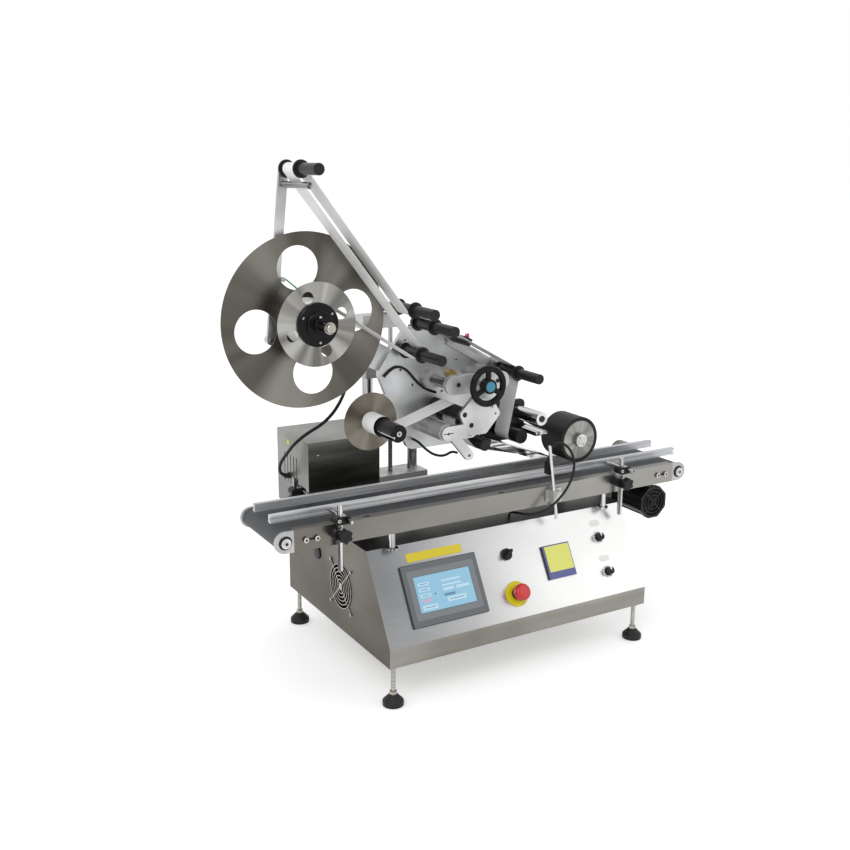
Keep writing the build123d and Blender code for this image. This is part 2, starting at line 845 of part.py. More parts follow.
def gear_motor():
    # A fan cooled motor with ribs, and a square gearbox at its back end.
    back = motor_front + motor_length
    gear_back = conveyor_back
    octagon = Pos(motor_x, motor_z) * Rot(0, 0, 22.5) * RegularPolygon(motor_radius, 8, major_radius=False)
    octagon = fillet(octagon.vertices(), motor_radius / 4)
    cowl = upright(octagon, motor_front, motor_front + motor_guard_depth)
    cowl -= along_y(
        motor_x, motor_z, motor_front - cut_over, motor_front + motor_guard_depth - motor_guard_wall,
        motor_radius - 2 * motor_guard_wall,
    )
    for step in range(3):
        radius = (motor_radius - 2 * motor_guard_wall) * (step + 1) / 3.5
        ring = Pos(motor_x, motor_z) * (Circle(radius) - Circle(radius - motor_guard_wall))
        cowl += upright(ring, motor_front, motor_front + motor_guard_wall)
    for turn in (0, 90):
        bar = Rectangle(2 * motor_radius - 2 * motor_guard_wall, motor_guard_wall)
        bar = Pos(motor_x, motor_z) * Rot(0, 0, turn + 45) * bar
        cowl += upright(bar, motor_front, motor_front + motor_guard_wall)
    body = along_y(motor_x, motor_z, motor_front + motor_guard_depth, back, motor_radius - motor_guard_wall)
    half = gearbox_width / 2
    gearbox = block(motor_x - half, motor_x + half, back, gear_back, motor_z - half, motor_z + half)
    gearbox = fillet(gearbox.edges().filter_by(Axis.Y), motor_guard_wall)
    bore_front = conveyor_back - gearbox_length / 2 - cut_over
    gearbox -= along_y(motor_x, motor_z, bore_front, gear_back + cut_over, motor_shaft_radius + running_gap)
    fins = []
    for turn in range(motor_fin_count):
        angle = 360 * turn / motor_fin_count
        fin = Pos(motor_x, motor_z) * Rot(0, 0, angle + 22.5) * Pos(motor_radius - motor_guard_wall, 0)
        fin *= Rectangle(2 * motor_guard_wall, motor_guard_wall)
        fins.append(upright(fin, motor_front + motor_guard_depth, back))
    for fin in fins:
        body += fin
    return cowl + body + gearbox


def drive_housing():
    # A plate on the back of the conveyor carries the gearbox, under a belt cover.
    margin = pulley_flange_radius + drive_cover_margin
    ends = [(motor_x, motor_z), (hub_right, hub_z)]
    front = conveyor_back
    back = front + drive_plate_thickness
    shape = hull([(x, z, margin) for x, z in ends])
    foot = Rectangle(gearbox_width * 1.5, frame_height - 2 * flange_thickness)
    shape += Pos((motor_x + hub_right) / 2 - gearbox_width, hub_z) * foot
    plate = upright(shape, front, back)
    for x, z in ends:
        plate -= along_y(x, z, front - cut_over, back + cut_over, roller_axle_radius + sheet)
    cover_back = back + drive_cover_depth
    cover = upright(hull([(x, z, margin) for x, z in ends]), back, cover_back)
    hollow = hull([(x, z, margin - drive_cover_wall) for x, z in ends])
    cover -= upright(hollow, back - cut_over, cover_back - drive_cover_wall)
    return [plate, cover]


def bracket_places():
    fronts = (conveyor_front - bracket_out, conveyor_front, -1)
    backs = (conveyor_back + bracket_out, conveyor_back, 1)
    return [(x, *side) for side in (fronts, backs) for x in (bracket_x_left, bracket_x_right)]


def rail_brackets():
    # Each bracket has a holder on the conveyor, a post and a cross clamp for the rail's rod.
    pieces = []
    half = holder_width / 2
    for x, y, face, sign in bracket_places():
        outer = y + sign * half
        ends = [(x - holder_reach, holder_z, holder_radius), (x + holder_right, holder_z, holder_radius)]
        holder = upright(hull(ends), min(face, outer), max(face, outer))
        holder -= along_z(x, y, 0, bracket_post_high, bracket_post_radius + running_gap)
        bore_end = outer - sign * rail_knob_bite
        holder -= along_y(
            x, holder_z, min(outer, bore_end) - running_gap, max(outer, bore_end) + running_gap,
            rail_knob_stem_radius + running_gap,
        )
        pieces.append(holder)
        low = bracket_post_low + (back_post_lift if sign > 0 else 0)
        post = along_z(x, y, low, bracket_post_high, bracket_post_radius)
        pieces.append(chamfer(post.edges(), bracket_post_radius / 6))
        rod_x = x + rod_shift
        ends = [(x - clamp_tail, rail_z, clamp_radius), (rod_x, rail_z, clamp_radius)]
        clamp = upright(hull(ends), y - clamp_depth / 2, y + clamp_depth / 2)
        clamp -= along_z(x, y, 0, bracket_post_high + cut_over, bracket_post_radius + running_gap)
        clamp -= along_y(rod_x, rail_z, y - clamp_depth, y + clamp_depth, rail_rod_radius + running_gap)
        pieces.append(clamp)
    return pieces


def rail_knob(place):
    x, y, face, sign = place
    outer = y + sign * holder_width / 2
    bore_end = outer - sign * rail_knob_bite
    stem_end = outer + sign * rail_knob_stem
    stem = along_y(x, holder_z, min(bore_end, stem_end), max(bore_end, stem_end), rail_knob_stem_radius)
    knob_end = stem_end + sign * rail_knob_height
    grip = Pos(x, holder_z) * lobed(rail_knob_radius, rail_knob_lobes)
    return stem + upright(grip, min(stem_end, knob_end), max(stem_end, knob_end))


def guide_rail(y, back_side):
    # An aluminium extrusion with a slot on the side that its rods come from.
    sign = 1 if back_side else -1
    inner = y - sign * rail_depth / 2
    outer = y + sign * rail_depth / 2
    half = rail_height / 2
    rail = block(
        -rail_length / 2, rail_length / 2, min(inner, outer), max(inner, outer), rail_z - half, rail_z + half
    )
    floor = outer - sign * rail_slot_depth
    rail -= block(
        -rail_length / 2 - cut_over, rail_length / 2 + cut_over,
        min(outer + sign * cut_over, floor), max(outer + sign * cut_over, floor),
        rail_z - rail_slot / 2, rail_z + rail_slot / 2,
    )
    groove = rail_slot_depth / 4
    for z in (rail_z - half, rail_z + half):
        rail -= along_x(inner + sign * rail_depth / 4, z, -rail_length, rail_length, groove)
    pieces = [rail]
    for x, bracket_y, face, side in bracket_places():
        if side != sign:
            continue
        tail = bracket_y + sign * rail_rod_tail
        tip_radius = rail_slot / 2 - control_gap
        tip = along_y(x + rod_shift, rail_z, min(floor, outer), max(floor, outer), tip_radius)
        rod = along_y(x + rod_shift, rail_z, min(outer, tail), max(outer, tail), rail_rod_radius)
        pieces.append(tip + rod)
    return pieces


def driver_box():
    left = driver_box_left
    right = left + driver_box_width
    front = driver_box_y
    back = front + driver_box_depth
    low = cabinet_top
    high = low + driver_box_height
    box = block(left, right, front, back, low, high)
    box -= block(
        left + box_sheet, right - box_sheet, front + box_sheet, back - box_sheet,
        low + box_sheet, high - box_sheet,
    )
    slit_top = high - louvre_drop
    for side in (left, right):
        for step in range(louvre_count):
            y = back - louvre_inset - louvre_pitch * step
            box -= block(
                side - cut_over - box_sheet, side + cut_over + box_sheet,
                y - louvre_width, y, slit_top - louvre_height, slit_top,
            )
    return box


def column_base():
    middle = (column_x_left + column_x_right) / 2
    half = pedestal_width / 2
    slab_half = slab_width / 2
    pedestal_top = cabinet_top + pedestal_height
    pedestal = block(
        middle - half, middle + half, column_y - pedestal_depth / 2, column_y + pedestal_depth / 2,
        cabinet_top, pedestal_top,
    )
    slab = block(
        middle - slab_half, middle + slab_half, column_y - slab_depth / 2, column_y + slab_depth / 2,
        pedestal_top, pedestal_top + slab_height,
    )
    slab = chamfer(slab.edges().filter_by(Axis.Z), slab_height / 8)
    bore_low = pedestal_top - cut_over
    for x in (column_x_left, column_x_right):
        slab -= along_z(x, column_y, bore_low, column_top, column_radius + running_gap)
    screw_bore = lift_screw_radius + running_gap
    slab -= along_z(middle, column_y, pedestal_top + slab_height / 2, column_top, screw_bore)
    return [pedestal, slab]


def lift_columns():
    low = cabinet_top + pedestal_height
    middle = (column_x_left + column_x_right) / 2
    left = along_z(column_x_left, column_y, low, column_top + top_block_height, column_radius)
    right = along_z(column_x_right, column_y, low, column_top, column_radius)
    top = block(
        column_x_left - column_radius - top_block_margin, middle + lift_screw_radius + top_block_margin,
        column_y - top_block_depth / 2, column_y + top_block_depth / 2,
        column_top, column_top + top_block_height,
    )
    bore_top = column_top + 2 * top_block_height
    top -= along_z(column_x_left, column_y, low, bore_top, column_radius + running_gap)
    top -= along_z(middle, column_y, low, bore_top, lift_screw_radius + running_gap)
    pieces = []
    for column in (left, right):
        pieces.append(chamfer(column.edges(), column_radius / 10))
    pieces.append(chamfer(top.edges().filter_by(Axis.Z).filter_by(GeomType.LINE), top_block_margin / 4))
    return pieces


def lift_screw():
    middle = (column_x_left + column_x_right) / 2
    low = cabinet_top + pedestal_height + slab_height / 2
    wheel_low = column_top + top_block_height + lift_wheel_rise
    screw = along_z(middle, column_y, low, wheel_low, lift_screw_radius)
    wheel = extrude(lobed(lift_wheel_radius, lift_wheel_lobes, 0.12), lift_wheel_height)
    wheel = Pos(middle, column_y, wheel_low) * wheel
    return screw + wheel


def lift_carriage():
    left = column_x_left - column_radius - carriage_margin
    right = cross_shaft_x_right + cross_shaft_radius + carriage_margin
    front = column_y - carriage_depth / 2
    back = column_y + carriage_depth / 2
    middle = (column_x_left + column_x_right) / 2
    body = block(left, right, front, back, carriage_low, carriage_high)
    body = fillet(body.edges().filter_by(Axis.Z), carriage_margin / 2)
    for x in (column_x_left, column_x_right):
        body -= along_z(x, column_y, 0, 2 * column_top, column_radius + running_gap)
    body -= along_z(middle, column_y, 0, 2 * column_top, lift_screw_radius + running_gap)
    depth = front + carriage_depth / 4
    for x in (cross_shaft_x_left, cross_shaft_x_right):
        body -= along_y(x, cross_z, front - cut_over, depth, cross_shaft_radius)
    wheel_x = (cross_shaft_x_left + cross_shaft_x_right) / 2
    body -= along_y(wheel_x, cross_z, front - cut_over, depth, cross_screw_radius + running_gap)
    return body


def cross_frame():
    back = column_y - carriage_depth / 2 + carriage_depth / 4
    plate_end = cross_front + cross_plate_thickness
    pieces = []
    for x in (cross_shaft_x_left, cross_shaft_x_right):
        pieces.append(along_y(x, cross_z, plate_end, back, cross_shaft_radius))
    wheel_x = (cross_shaft_x_left + cross_shaft_x_right) / 2
    places = [(x, cross_z, cross_plate_radius) for x in (cross_shaft_x_left, cross_shaft_x_right)]
    plate = upright(hull(places), cross_front, plate_end)
    screw_bore = cross_screw_radius + running_gap
    plate -= along_y(wheel_x, cross_z, cross_front - cut_over, plate_end + cut_over, screw_bore)
    pieces.append(plate)
    return pieces


def cross_handwheel():
    x = (cross_shaft_x_left + cross_shaft_x_right) / 2
    hub_front = cross_front - cross_screw_overhang
    back = column_y - carriage_depth / 2 + carriage_depth / 4 - cut_over
    wheel = along_y(x, cross_z, hub_front, hub_front + wheel_hub_length, wheel_hub_radius)
    wheel += along_y(x, cross_z, hub_front - wheel_cap_height, hub_front, wheel_cap_radius)
    rim_y = hub_front + wheel_hub_length / 2
    section = Pos(wheel_radius - wheel_rim_radius, 0) * Circle(wheel_rim_radius)
    ring = Pos(x, rim_y, cross_z) * Rot(90, 0, 0) * revolve(Plane.XZ * section, Axis.Z)
    spoke_length = wheel_radius - wheel_rim_radius
    for turn in range(wheel_spoke_count):
        spoke = Pos(spoke_length / 2, 0, 0) * Rot(0, 90, 0) * Cylinder(wheel_spoke_radius, spoke_length)
        wheel += Pos(x, rim_y, cross_z) * Rot(0, 360 * turn / wheel_spoke_count + 30, 0) * spoke
    screw = along_y(x, cross_z, hub_front + wheel_hub_length, back, cross_screw_radius)
    return wheel + ring + screw


def main_plate():
    points = [
        plate_top_left, plate_shoulder, plate_top_right, plate_right, plate_right_low,
        plate_foot_right, plate_foot_left, plate_left,
    ]
    shape = outline(points, plate_corner)
    shape += hull([
        (rewind_x, rewind_z, rewind_lobe_radius), (plate_foot_left[0], rewind_z, rewind_lobe_radius * 2),
    ])
    plate = upright(shape, plate_front, plate_back)
    for x in (cross_shaft_x_left, cross_shaft_x_right):
        plate += along_y(x, cross_z, plate_front - bush_length, plate_front, bush_radius)
        plate -= along_y(x, cross_z, -cabinet_depth, cabinet_depth, cross_shaft_radius + running_gap)
    x = (cross_shaft_x_left + cross_shaft_x_right) / 2
    plate += along_y(x, cross_z, plate_front - nut_length, plate_front, nut_radius)
    plate -= along_y(x, cross_z, -cabinet_depth, cabinet_depth, cross_screw_radius + running_gap)
    for x, z in ((rewind_x, rewind_z), (traction_x, traction_z), (pinch_x, pinch_z)):
        plate -= along_y(x, z, plate_front - cut_over, plate_back + cut_over, journal_radius + running_gap)
    tab = hull([(*tab_left, tab_corner), (*tab_right, tab_corner), (*tab_low, tab_corner)])
    tab -= Pos(fourth_guide_x, fourth_guide_z) * Circle(2 * guide_bore_radius + running_gap)
    return plate + upright(tab, plate_front - tab_thickness, plate_front)


def side_plate():
    # The outer bearing plate: a bar over the tie tube's end, a lobe for the rollers and a tail.
    shape = hull([
        (pinch_x, pinch_z, side_lobe_radius), (*side_top_left, side_lobe_radius),
        (*side_top_right, side_lobe_radius), (*side_right, side_lobe_radius),
        (*side_right_low, side_lobe_radius), (traction_x, traction_z - side_lobe_radius, side_lobe_radius),
    ])
    shape += hull([
        (tie_tube_x, tie_tube_z, side_bar_radius),
        (traction_x, traction_z - side_lobe_radius, side_bar_radius),
    ])
    shape += hull([
        (tie_tube_x + arm_low_radius, tie_tube_z - arm_low_radius / 3, arm_low_radius),
        (arm_low_x, arm_low_z, arm_low_radius),
    ])
    shape -= Pos(tie_tube_x, tie_tube_z) * Rectangle(side_slot_length, clamp_slit)
    shape -= Pos(tie_tube_x, tie_tube_z) * Circle(side_slot_hole_radius)
    shape -= Pos(arm_low_x, arm_low_z) * Circle(arm_hole_radius)
    for place in (side_top_left, side_right):
        shape -= Pos(*place) * Circle(side_hole_radius)
    for x, z in ((traction_x, traction_z), (pinch_x, pinch_z)):
        shape -= Pos(x, z) * Circle(journal_radius + running_gap)
    return upright(shape, side_plate_front, side_plate_front + side_plate_depth)


def head_fixings():
    # The fixed tube and axles that stand out from the main plate.
    tube_front = side_plate_front + side_plate_depth
    pieces = [along_y(tie_tube_x, tie_tube_z, tube_front, plate_front, tie_tube_radius)]
    axles = [
        (lower_guide_x, lower_guide_z, roller_front), (first_guide_x, first_guide_z, roller_front),
        (second_guide_x, second_guide_z, roller_front), (fourth_guide_x, fourth_guide_z, roller_front),
        (liner_guide_x, liner_guide_z, short_roller_front),
    ]
    for x, z, front in axles:
        pieces.append(axle(x, z, front, plate_front))
    return pieces


def axle(x, z, front, base):
    pin = along_y(x, z, front + cap_recess, base, guide_bore_radius)
    return pin + along_y(x, z, base - cap_recess, base, guide_bore_radius * 2)


def label_sensor():
    # A fork that the web passes through, on a bar along the main plate's sloping edge.
    run = fourth_guide_x - second_guide_x
    fall = second_guide_z - fourth_guide_z
    lean = math.degrees(math.atan2(fall, run))
    up_x = math.sin(math.radians(lean))
    up_z = math.cos(math.radians(lean))
    share = (sensor_fork_x - second_guide_x) / run
    web_x = sensor_fork_x + up_x * guide_radius
    web_z = second_guide_z - fall * share + up_z * guide_radius
    fork_back = plate_front - sensor_bar_depth
    fork_front = web_centre - sensor_fork_length / 2
    middle = (fork_front + fork_back) / 2
    fork = Box(sensor_fork_length, fork_back - fork_front, sensor_fork_height)
    slot_length = web_back + sensor_throat - fork_front + cut_over
    slot = Pos(0, fork_front - cut_over + slot_length / 2 - middle, 0)
    fork -= slot * Box(2 * sensor_fork_length, slot_length, sensor_throat)
    fork = Pos(web_x, middle, web_z) * Rot(0, lean, 0) * fork
    drop = sensor_bar_height / 2 + guide_radius * 0.8
    bar_x = sensor_fork_x + run * sensor_bar_share
    bar_z = web_z - fall * sensor_bar_share - up_z * drop
    bar = Box(sensor_bar_length, sensor_bar_depth, sensor_bar_height)
    bar = Pos(bar_x, plate_front - sensor_bar_depth / 2, bar_z) * Rot(0, lean, 0) * bar
    return [fork, bar]


def guide_roller(x, z, base):
    # A plain roller with two collars that keep the web in line.
    back = base - cap_recess - control_gap
    roller = along_y(x, z, roller_front, back, guide_radius)
    for middle in (web_centre - guide_flange_pitch / 2, web_centre + guide_flange_pitch / 2):
        low = middle - guide_flange_width / 2
        roller += along_y(x, z, low, low + guide_flange_width, guide_flange_radius)
    roller -= along_y(x, z, roller_front + cap_recess - control_gap, base, guide_bore_radius + running_gap)
    return roller


def short_roller(x, z, radius, base):
    back = base - cap_recess - control_gap
    roller = along_y(x, z, short_roller_front, back, radius)
    bore_front = short_roller_front + cap_recess - control_gap
    return roller - along_y(x, z, bore_front, base, guide_bore_radius + running_gap)


def driven_roller(x, z, radius, tail):
    front = side_plate_front + side_plate_depth + control_gap
    back = plate_front - control_gap
    roller = along_y(x, z, front, back, radius)
    return roller + along_y(x, z, side_plate_front, tail, journal_radius)


def traction_motor():
    half = traction_motor_size / 2
    body = block(
        traction_x - half, traction_x + half, plate_back, plate_back + traction_motor_length,
        traction_z - half, traction_z + half,
    )
    body = chamfer(body.edges().filter_by(Axis.Y), half / 6)
    bore_back = plate_back + journal_radius * 2
    return body - along_y(traction_x, traction_z, plate_front, bore_back, journal_radius + running_gap)


def reel_arm():
    # Behind the reel: the arm, its bearing housing, the link to the dancer and the spindle.
    back = plate_back + reel_arm_thickness
    arm = upright(
        hull([(reel_x, reel_z, reel_arm_radius), (reel_arm_foot_x, reel_arm_foot_z, reel_arm_radius)]),
        plate_back, back,
    )
    housing = along_y(reel_x, reel_z, dancer_back + cap_recess, plate_back, housing_radius)
    link_front = plate_back - link_thickness
    link = upright(
        hull([(reel_x, reel_z, housing_radius), (dancer_pivot_x, dancer_pivot_z, link_end_radius)]),
        link_front, plate_back,
    )
    pin = along_y(dancer_pivot_x, dancer_pivot_z, dancer_front - cap_recess, plate_back, dancer_pin_radius)
    washer = along_y(dancer_pivot_x, dancer_pivot_z, dancer_back + control_gap, link_front, link_end_radius)
    spindle = along_y(reel_x, reel_z, spindle_front, back, spindle_radius)
    spindle = chamfer(spindle.edges().sort_by(Axis.Y)[0], spindle_radius / 6)
    return arm + housing + link + pin + washer + spindle


def reel_disc(front, radius, hole, ring, angle):
    shape = Circle(radius) - Circle(spindle_radius + sheet)
    for turn in range(4):
        shape -= Rot(0, 0, angle + 90 * turn) * Pos(ring, 0) * Circle(hole)
    return upright(Pos(reel_x, reel_z) * shape, front, front + disc_thickness)


def label_reel():
    # Two steel discs hold the label roll on a black hub, which turns on the spindle.
    front_disc = web_front - core_gap - disc_thickness
    back_disc = web_back + core_gap
    discs = [
        reel_disc(back_disc, reel_back_radius, disc_hole_radius, disc_hole_ring, disc_hole_angle),
        reel_disc(front_disc, reel_front_radius, front_hole_radius, front_hole_ring, front_hole_angle),
    ]
    drum_front = back_disc + disc_thickness
    drum = along_y(reel_x, reel_z, drum_front, drum_front + drum_width, drum_radius)
    groove = Circle(drum_radius + cut_over) - Circle(drum_radius - drum_groove_depth)
    middle = drum_front + drum_width / 2
    half = brake_cord_radius + control_gap
    drum -= upright(Pos(reel_x, reel_z) * groove, middle - half, middle + half)
    cap_front = front_disc - disc_thickness * 4
    hub = along_y(reel_x, reel_z, cap_front, front_disc, hub_radius)
    for step in range(3):
        ring_outer = hub_radius - hub_wall * (1 + 2.2 * step)
        ring = Circle(ring_outer) - Circle(ring_outer - hub_wall)
        hub -= upright(Pos(reel_x, reel_z) * ring, cap_front - cut_over, cap_front + disc_thickness)
    hub += along_y(reel_x, reel_z, front_disc + disc_thickness, back_disc, hub_radius)
    hub += along_y(reel_x, reel_z, front_disc, back_disc, spindle_radius + sheet)
    hub += along_y(reel_x, reel_z, back_disc, drum_front, spindle_radius + sheet)
    hub += drum
    bore = along_y(reel_x, reel_z, spindle_front, 0, spindle_radius + running_gap)
    roll = Pos(reel_x, reel_z) * (Circle(hub_radius + roll_thickness) - Circle(hub_radius))
    return [discs[0], discs[1], hub - bore, upright(roll, web_front, web_back)]


def dancer_tilt():
    return math.degrees(math.atan2(top_guide_x - dancer_pivot_x, top_guide_z - dancer_pivot_z))


def on_dancer(z):
    return dancer_pivot_x + (z - dancer_pivot_z) * math.tan(math.radians(dancer_tilt()))


def dancer_arm():
    half = dancer_width / 2
    bar = upright(
        hull([(dancer_pivot_x, dancer_pivot_z, half), (top_guide_x, top_guide_z, half)]),
        dancer_front, dancer_back,
    )
    bar -= along_y(
        dancer_pivot_x, dancer_pivot_z, dancer_front - cut_over, dancer_back + cut_over,
        dancer_pin_radius + running_gap,
    )
    axle = along_y(top_guide_x, top_guide_z, roller_front + cap_recess, dancer_front, guide_bore_radius)
    axle += along_y(top_guide_x, top_guide_z, dancer_front - cap_recess, dancer_front, guide_bore_radius * 2)
    rod_z = top_guide_z - guide_rod_drop
    rod = along_y(on_dancer(rod_z), rod_z, guide_rod_front, dancer_front, guide_rod_radius)
    anchor_x = on_dancer(anchor_z) + half
    anchor = along_y(anchor_x, anchor_z, web_back + core_gap + 2 * disc_thickness, dancer_back, anchor_radius)
    return bar + axle + rod + anchor


def brake_belt():
    # A thin round belt from the dancer, over the drum and back to the link.
    radius = drum_radius - drum_groove_depth + brake_cord_radius + control_gap
    start = Vector(on_dancer(anchor_z) + dancer_width / 2 + anchor_radius + brake_cord_radius, anchor_z)
    centre = Vector(reel_x, reel_z)
    reach = start - centre
    spread = math.degrees(math.acos(radius / reach.length))
    first = math.degrees(math.atan2(reach.Y, reach.X)) - spread
    swing = brake_wrap_end - first
    path_points = []
    for share in (0, 0.5, 1):
        angle = math.radians(first + swing * share)
        path_points.append((reel_x + radius * math.cos(angle), reel_z + radius * math.sin(angle)))
    line = Line((start.X, start.Y), path_points[0])
    arc = ThreePointArc(*path_points)
    middle = web_back + core_gap + disc_thickness + drum_width / 2
    path = Pos(0, middle, 0) * (Plane.XZ * (line + arc))
    begin = path @ 0
    profile = Plane(begin, z_dir=path % 0) * Circle(brake_cord_radius)
    return sweep(profile, path=path)


def directed_tangent(first, second):
    # Circles are (x, z, signed radius), positive where the web turns to its left.
    dx = second[0] - first[0]
    dz = second[1] - first[1]
    heading = math.atan2(dz, dx) - math.asin((second[2] - first[2]) / math.hypot(dx, dz))
    normal = (-math.sin(heading), math.cos(heading))
    leave = (first[0] - first[2] * normal[0], first[1] - first[2] * normal[1])
    reach = (second[0] - second[2] * normal[0], second[1] - second[2] * normal[1])
    return heading, leave, reach


def web_side(stops, shift):
    # The edges of one face of the web: straight runs and arcs round the rollers.
    circles = [(x, z, turn - shift) for x, z, turn in stops]
    runs = [directed_tangent(circles[i], circles[i + 1]) for i in range(len(circles) - 1)]
    edges = []
    for i, (heading, leave, reach) in enumerate(runs):
        edges.append(Line(leave, reach))
        if i + 1 == len(runs):
            break
        x, z, turn = circles[i + 1]
        swing = (runs[i + 1][0] - heading) % (2 * math.pi)
        if turn < 0:
            swing -= 2 * math.pi
        start = math.atan2(reach[1] - z, reach[0] - x)
        middle = (x + abs(turn) * math.cos(start + swing / 2), z + abs(turn) * math.sin(start + swing / 2))
        edges.append(ThreePointArc(reach, middle, runs[i + 1][1]))
    return edges, runs[0][1], runs[-1][2]


def label_web():
    # The label stock runs from the roll round every roller to the rewind mandrel.
    skin = belt_gap + web_thickness / 2
    stops = [
        (reel_x, reel_z, -(hub_radius + roll_thickness + skin)),
        (lower_guide_x, lower_guide_z, guide_radius + skin),
        (top_guide_x, top_guide_z, -(guide_radius + skin)),
        (first_guide_x, first_guide_z, guide_radius + skin),
        (second_guide_x, second_guide_z, -(guide_radius + skin)),
        (fourth_guide_x, fourth_guide_z, -(guide_radius + skin)),
        (hold_down_x, hold_down_z, hold_down_radius + skin),
        (peel_edge_x, peel_edge_z, -(peel_edge_radius + skin)),
        (liner_guide_x, liner_guide_z, -(liner_guide_radius + skin)),
        (traction_x, traction_z, -(traction_radius + skin)),
        (pinch_x, pinch_z, pinch_radius + skin),
        (rewind_x, rewind_z, -(mandrel_radius + liner_roll_thickness + skin)),
    ]
    left, left_start, left_end = web_side(stops, web_thickness / 2)
    right, right_start, right_end = web_side(stops, -web_thickness / 2)
    closing = [Line(left_start, right_start), Line(left_end, right_end)]
    face = make_face(Curve() + [*left, *right, *closing])
    return upright(face, web_front, web_back)


def rewind_mandrel():
    disc_front = web_back + core_gap
    disc = Pos(rewind_x, rewind_z) * Circle(rewind_disc_radius)
    disc = upright(disc, disc_front, disc_front + disc_thickness)
    body = along_y(rewind_x, rewind_z, mandrel_front, disc_front, mandrel_radius)
    body = chamfer(body.edges().sort_by(Axis.Y)[0], mandrel_radius / 12)
    slot = Pos(rewind_x, rewind_z) * Rot(0, 0, 200) * Pos(mandrel_radius, 0)
    body -= upright(slot * Rectangle(2 * mandrel_slot_depth, mandrel_slot), -cabinet_depth, disc_front)
    shaft = along_y(rewind_x, rewind_z, disc_front, plate_back, journal_radius)
    shaft += along_y(rewind_x, rewind_z, disc_front, plate_front - control_gap, journal_radius * 2)
    rod_reach = mandrel_radius - mandrel_slot_depth + mandrel_rod_radius
    rod_place = Pos(rewind_x, rewind_z) * Rot(0, 0, 200) * Pos(rod_reach, 0)
    rod = upright(rod_place * Circle(mandrel_rod_radius), mandrel_front - mandrel_slot, disc_front)
    roll = Circle(mandrel_radius + liner_roll_thickness) - Circle(mandrel_radius)
    paper = upright(Pos(rewind_x, rewind_z) * roll, web_front, web_back)
    return [disc + body + shaft + rod, paper]


def peel_plate():
    # A thin plate with a sharp edge, on a bar at each side and a tie at its top.
    dx = math.cos(math.radians(peel_slope))
    dz = -math.sin(math.radians(peel_slope))
    up = (-dz, dx)
    skin = peel_edge_radius
    tip = (peel_edge_x, peel_edge_z)
    length = math.hypot(peel_edge_x - peel_top_x, peel_edge_z - peel_top_z)

    def place(along, below):
        return (tip[0] - along * dx - below * up[0], tip[1] - along * dz - below * up[1])

    section = make_face(Polyline(
        place(0, -skin * 0.8), place(length, -skin * 0.8), place(length, peel_thickness),
        place(peel_taper, peel_thickness), place(0, skin * 0.6), close=True,
    ))
    front = web_centre - peel_width / 2
    back = web_centre + peel_width / 2
    plate = upright(section, front, back)
    bar_section = make_face(Polyline(
        place(peel_taper, 0), place(length, 0), place(length, peel_bar_height),
        place(peel_taper * 2, peel_bar_height), close=True,
    ))
    pieces = [plate, upright(bar_section, front - peel_bar_width, front)]
    pieces.append(upright(bar_section, back, plate_front - nose_thickness))
    return pieces


def nose_plate():
    # The dark plate on the main plate's lower right corner, with the pivot tube and a beam.
    points = [
        (nose_left, nose_top), (nose_right, nose_top), (nose_right, nose_low + nose_corner * 2),
        (nose_right - nose_corner * 2, nose_low), (nose_left, nose_low),
    ]
    front = plate_front - nose_thickness
    shape = outline(points, nose_corner)
    plate = upright(shape, front, plate_front)
    tube = along_y(press_pivot_x, press_pivot_z, short_roller_front, front, press_axle_radius)
    beam_z = press_pivot_z - beam_drop
    beam = block(
        press_pivot_x - beam_width / 2, press_pivot_x + beam_width / 2, short_roller_front, front,
        beam_z - beam_height, beam_z,
    )
    beam = chamfer(beam.edges().filter_by(Axis.X).sort_by(Axis.Y)[:2], beam_height / 3)
    return [plate + tube, beam, axle(hold_down_x, hold_down_z, short_roller_front, front)]


def press_arm():
    back = press_back + control_gap + press_arm_thickness
    front = press_back + control_gap
    arm = upright(
        hull([(press_pivot_x, press_pivot_z, press_arm_radius), (press_x, press_z, press_arm_radius)]),
        front, back,
    )
    arm += along_y(press_pivot_x, press_pivot_z, short_roller_front + cap_recess, back, pivot_tube_radius)
    bore = press_axle_radius + running_gap
    arm -= along_y(press_pivot_x, press_pivot_z, -cabinet_depth, cabinet_depth, bore)
    axle = along_y(press_x, press_z, press_front - press_boss_height - cap_recess, front, press_axle_radius)
    return arm + axle


def press_roller():
    # A soft tyre on a turned core between two steel discs.
    tyre = Circle(press_radius) - Circle(press_radius - press_tyre_thickness)
    tyre = upright(Pos(press_x, press_z) * tyre, press_front, press_back)
    tyre_front = tyre.faces().filter_by(Axis.Y).sort_by(Axis.Y)[0]
    tyre = fillet(tyre_front.outer_wire().edges(), press_tyre_thickness / 4)
    core = Circle(press_disc_radius) - Circle(press_axle_radius + running_gap)
    front = press_front + press_disc_thickness / 3
    hub = upright(Pos(press_x, press_z) * core, front, press_back - control_gap)
    boss = Circle(press_boss_radius) - Circle(press_axle_radius + running_gap)
    hub += upright(Pos(press_x, press_z) * boss, press_front - press_boss_height, front)
    return [tyre, hub]


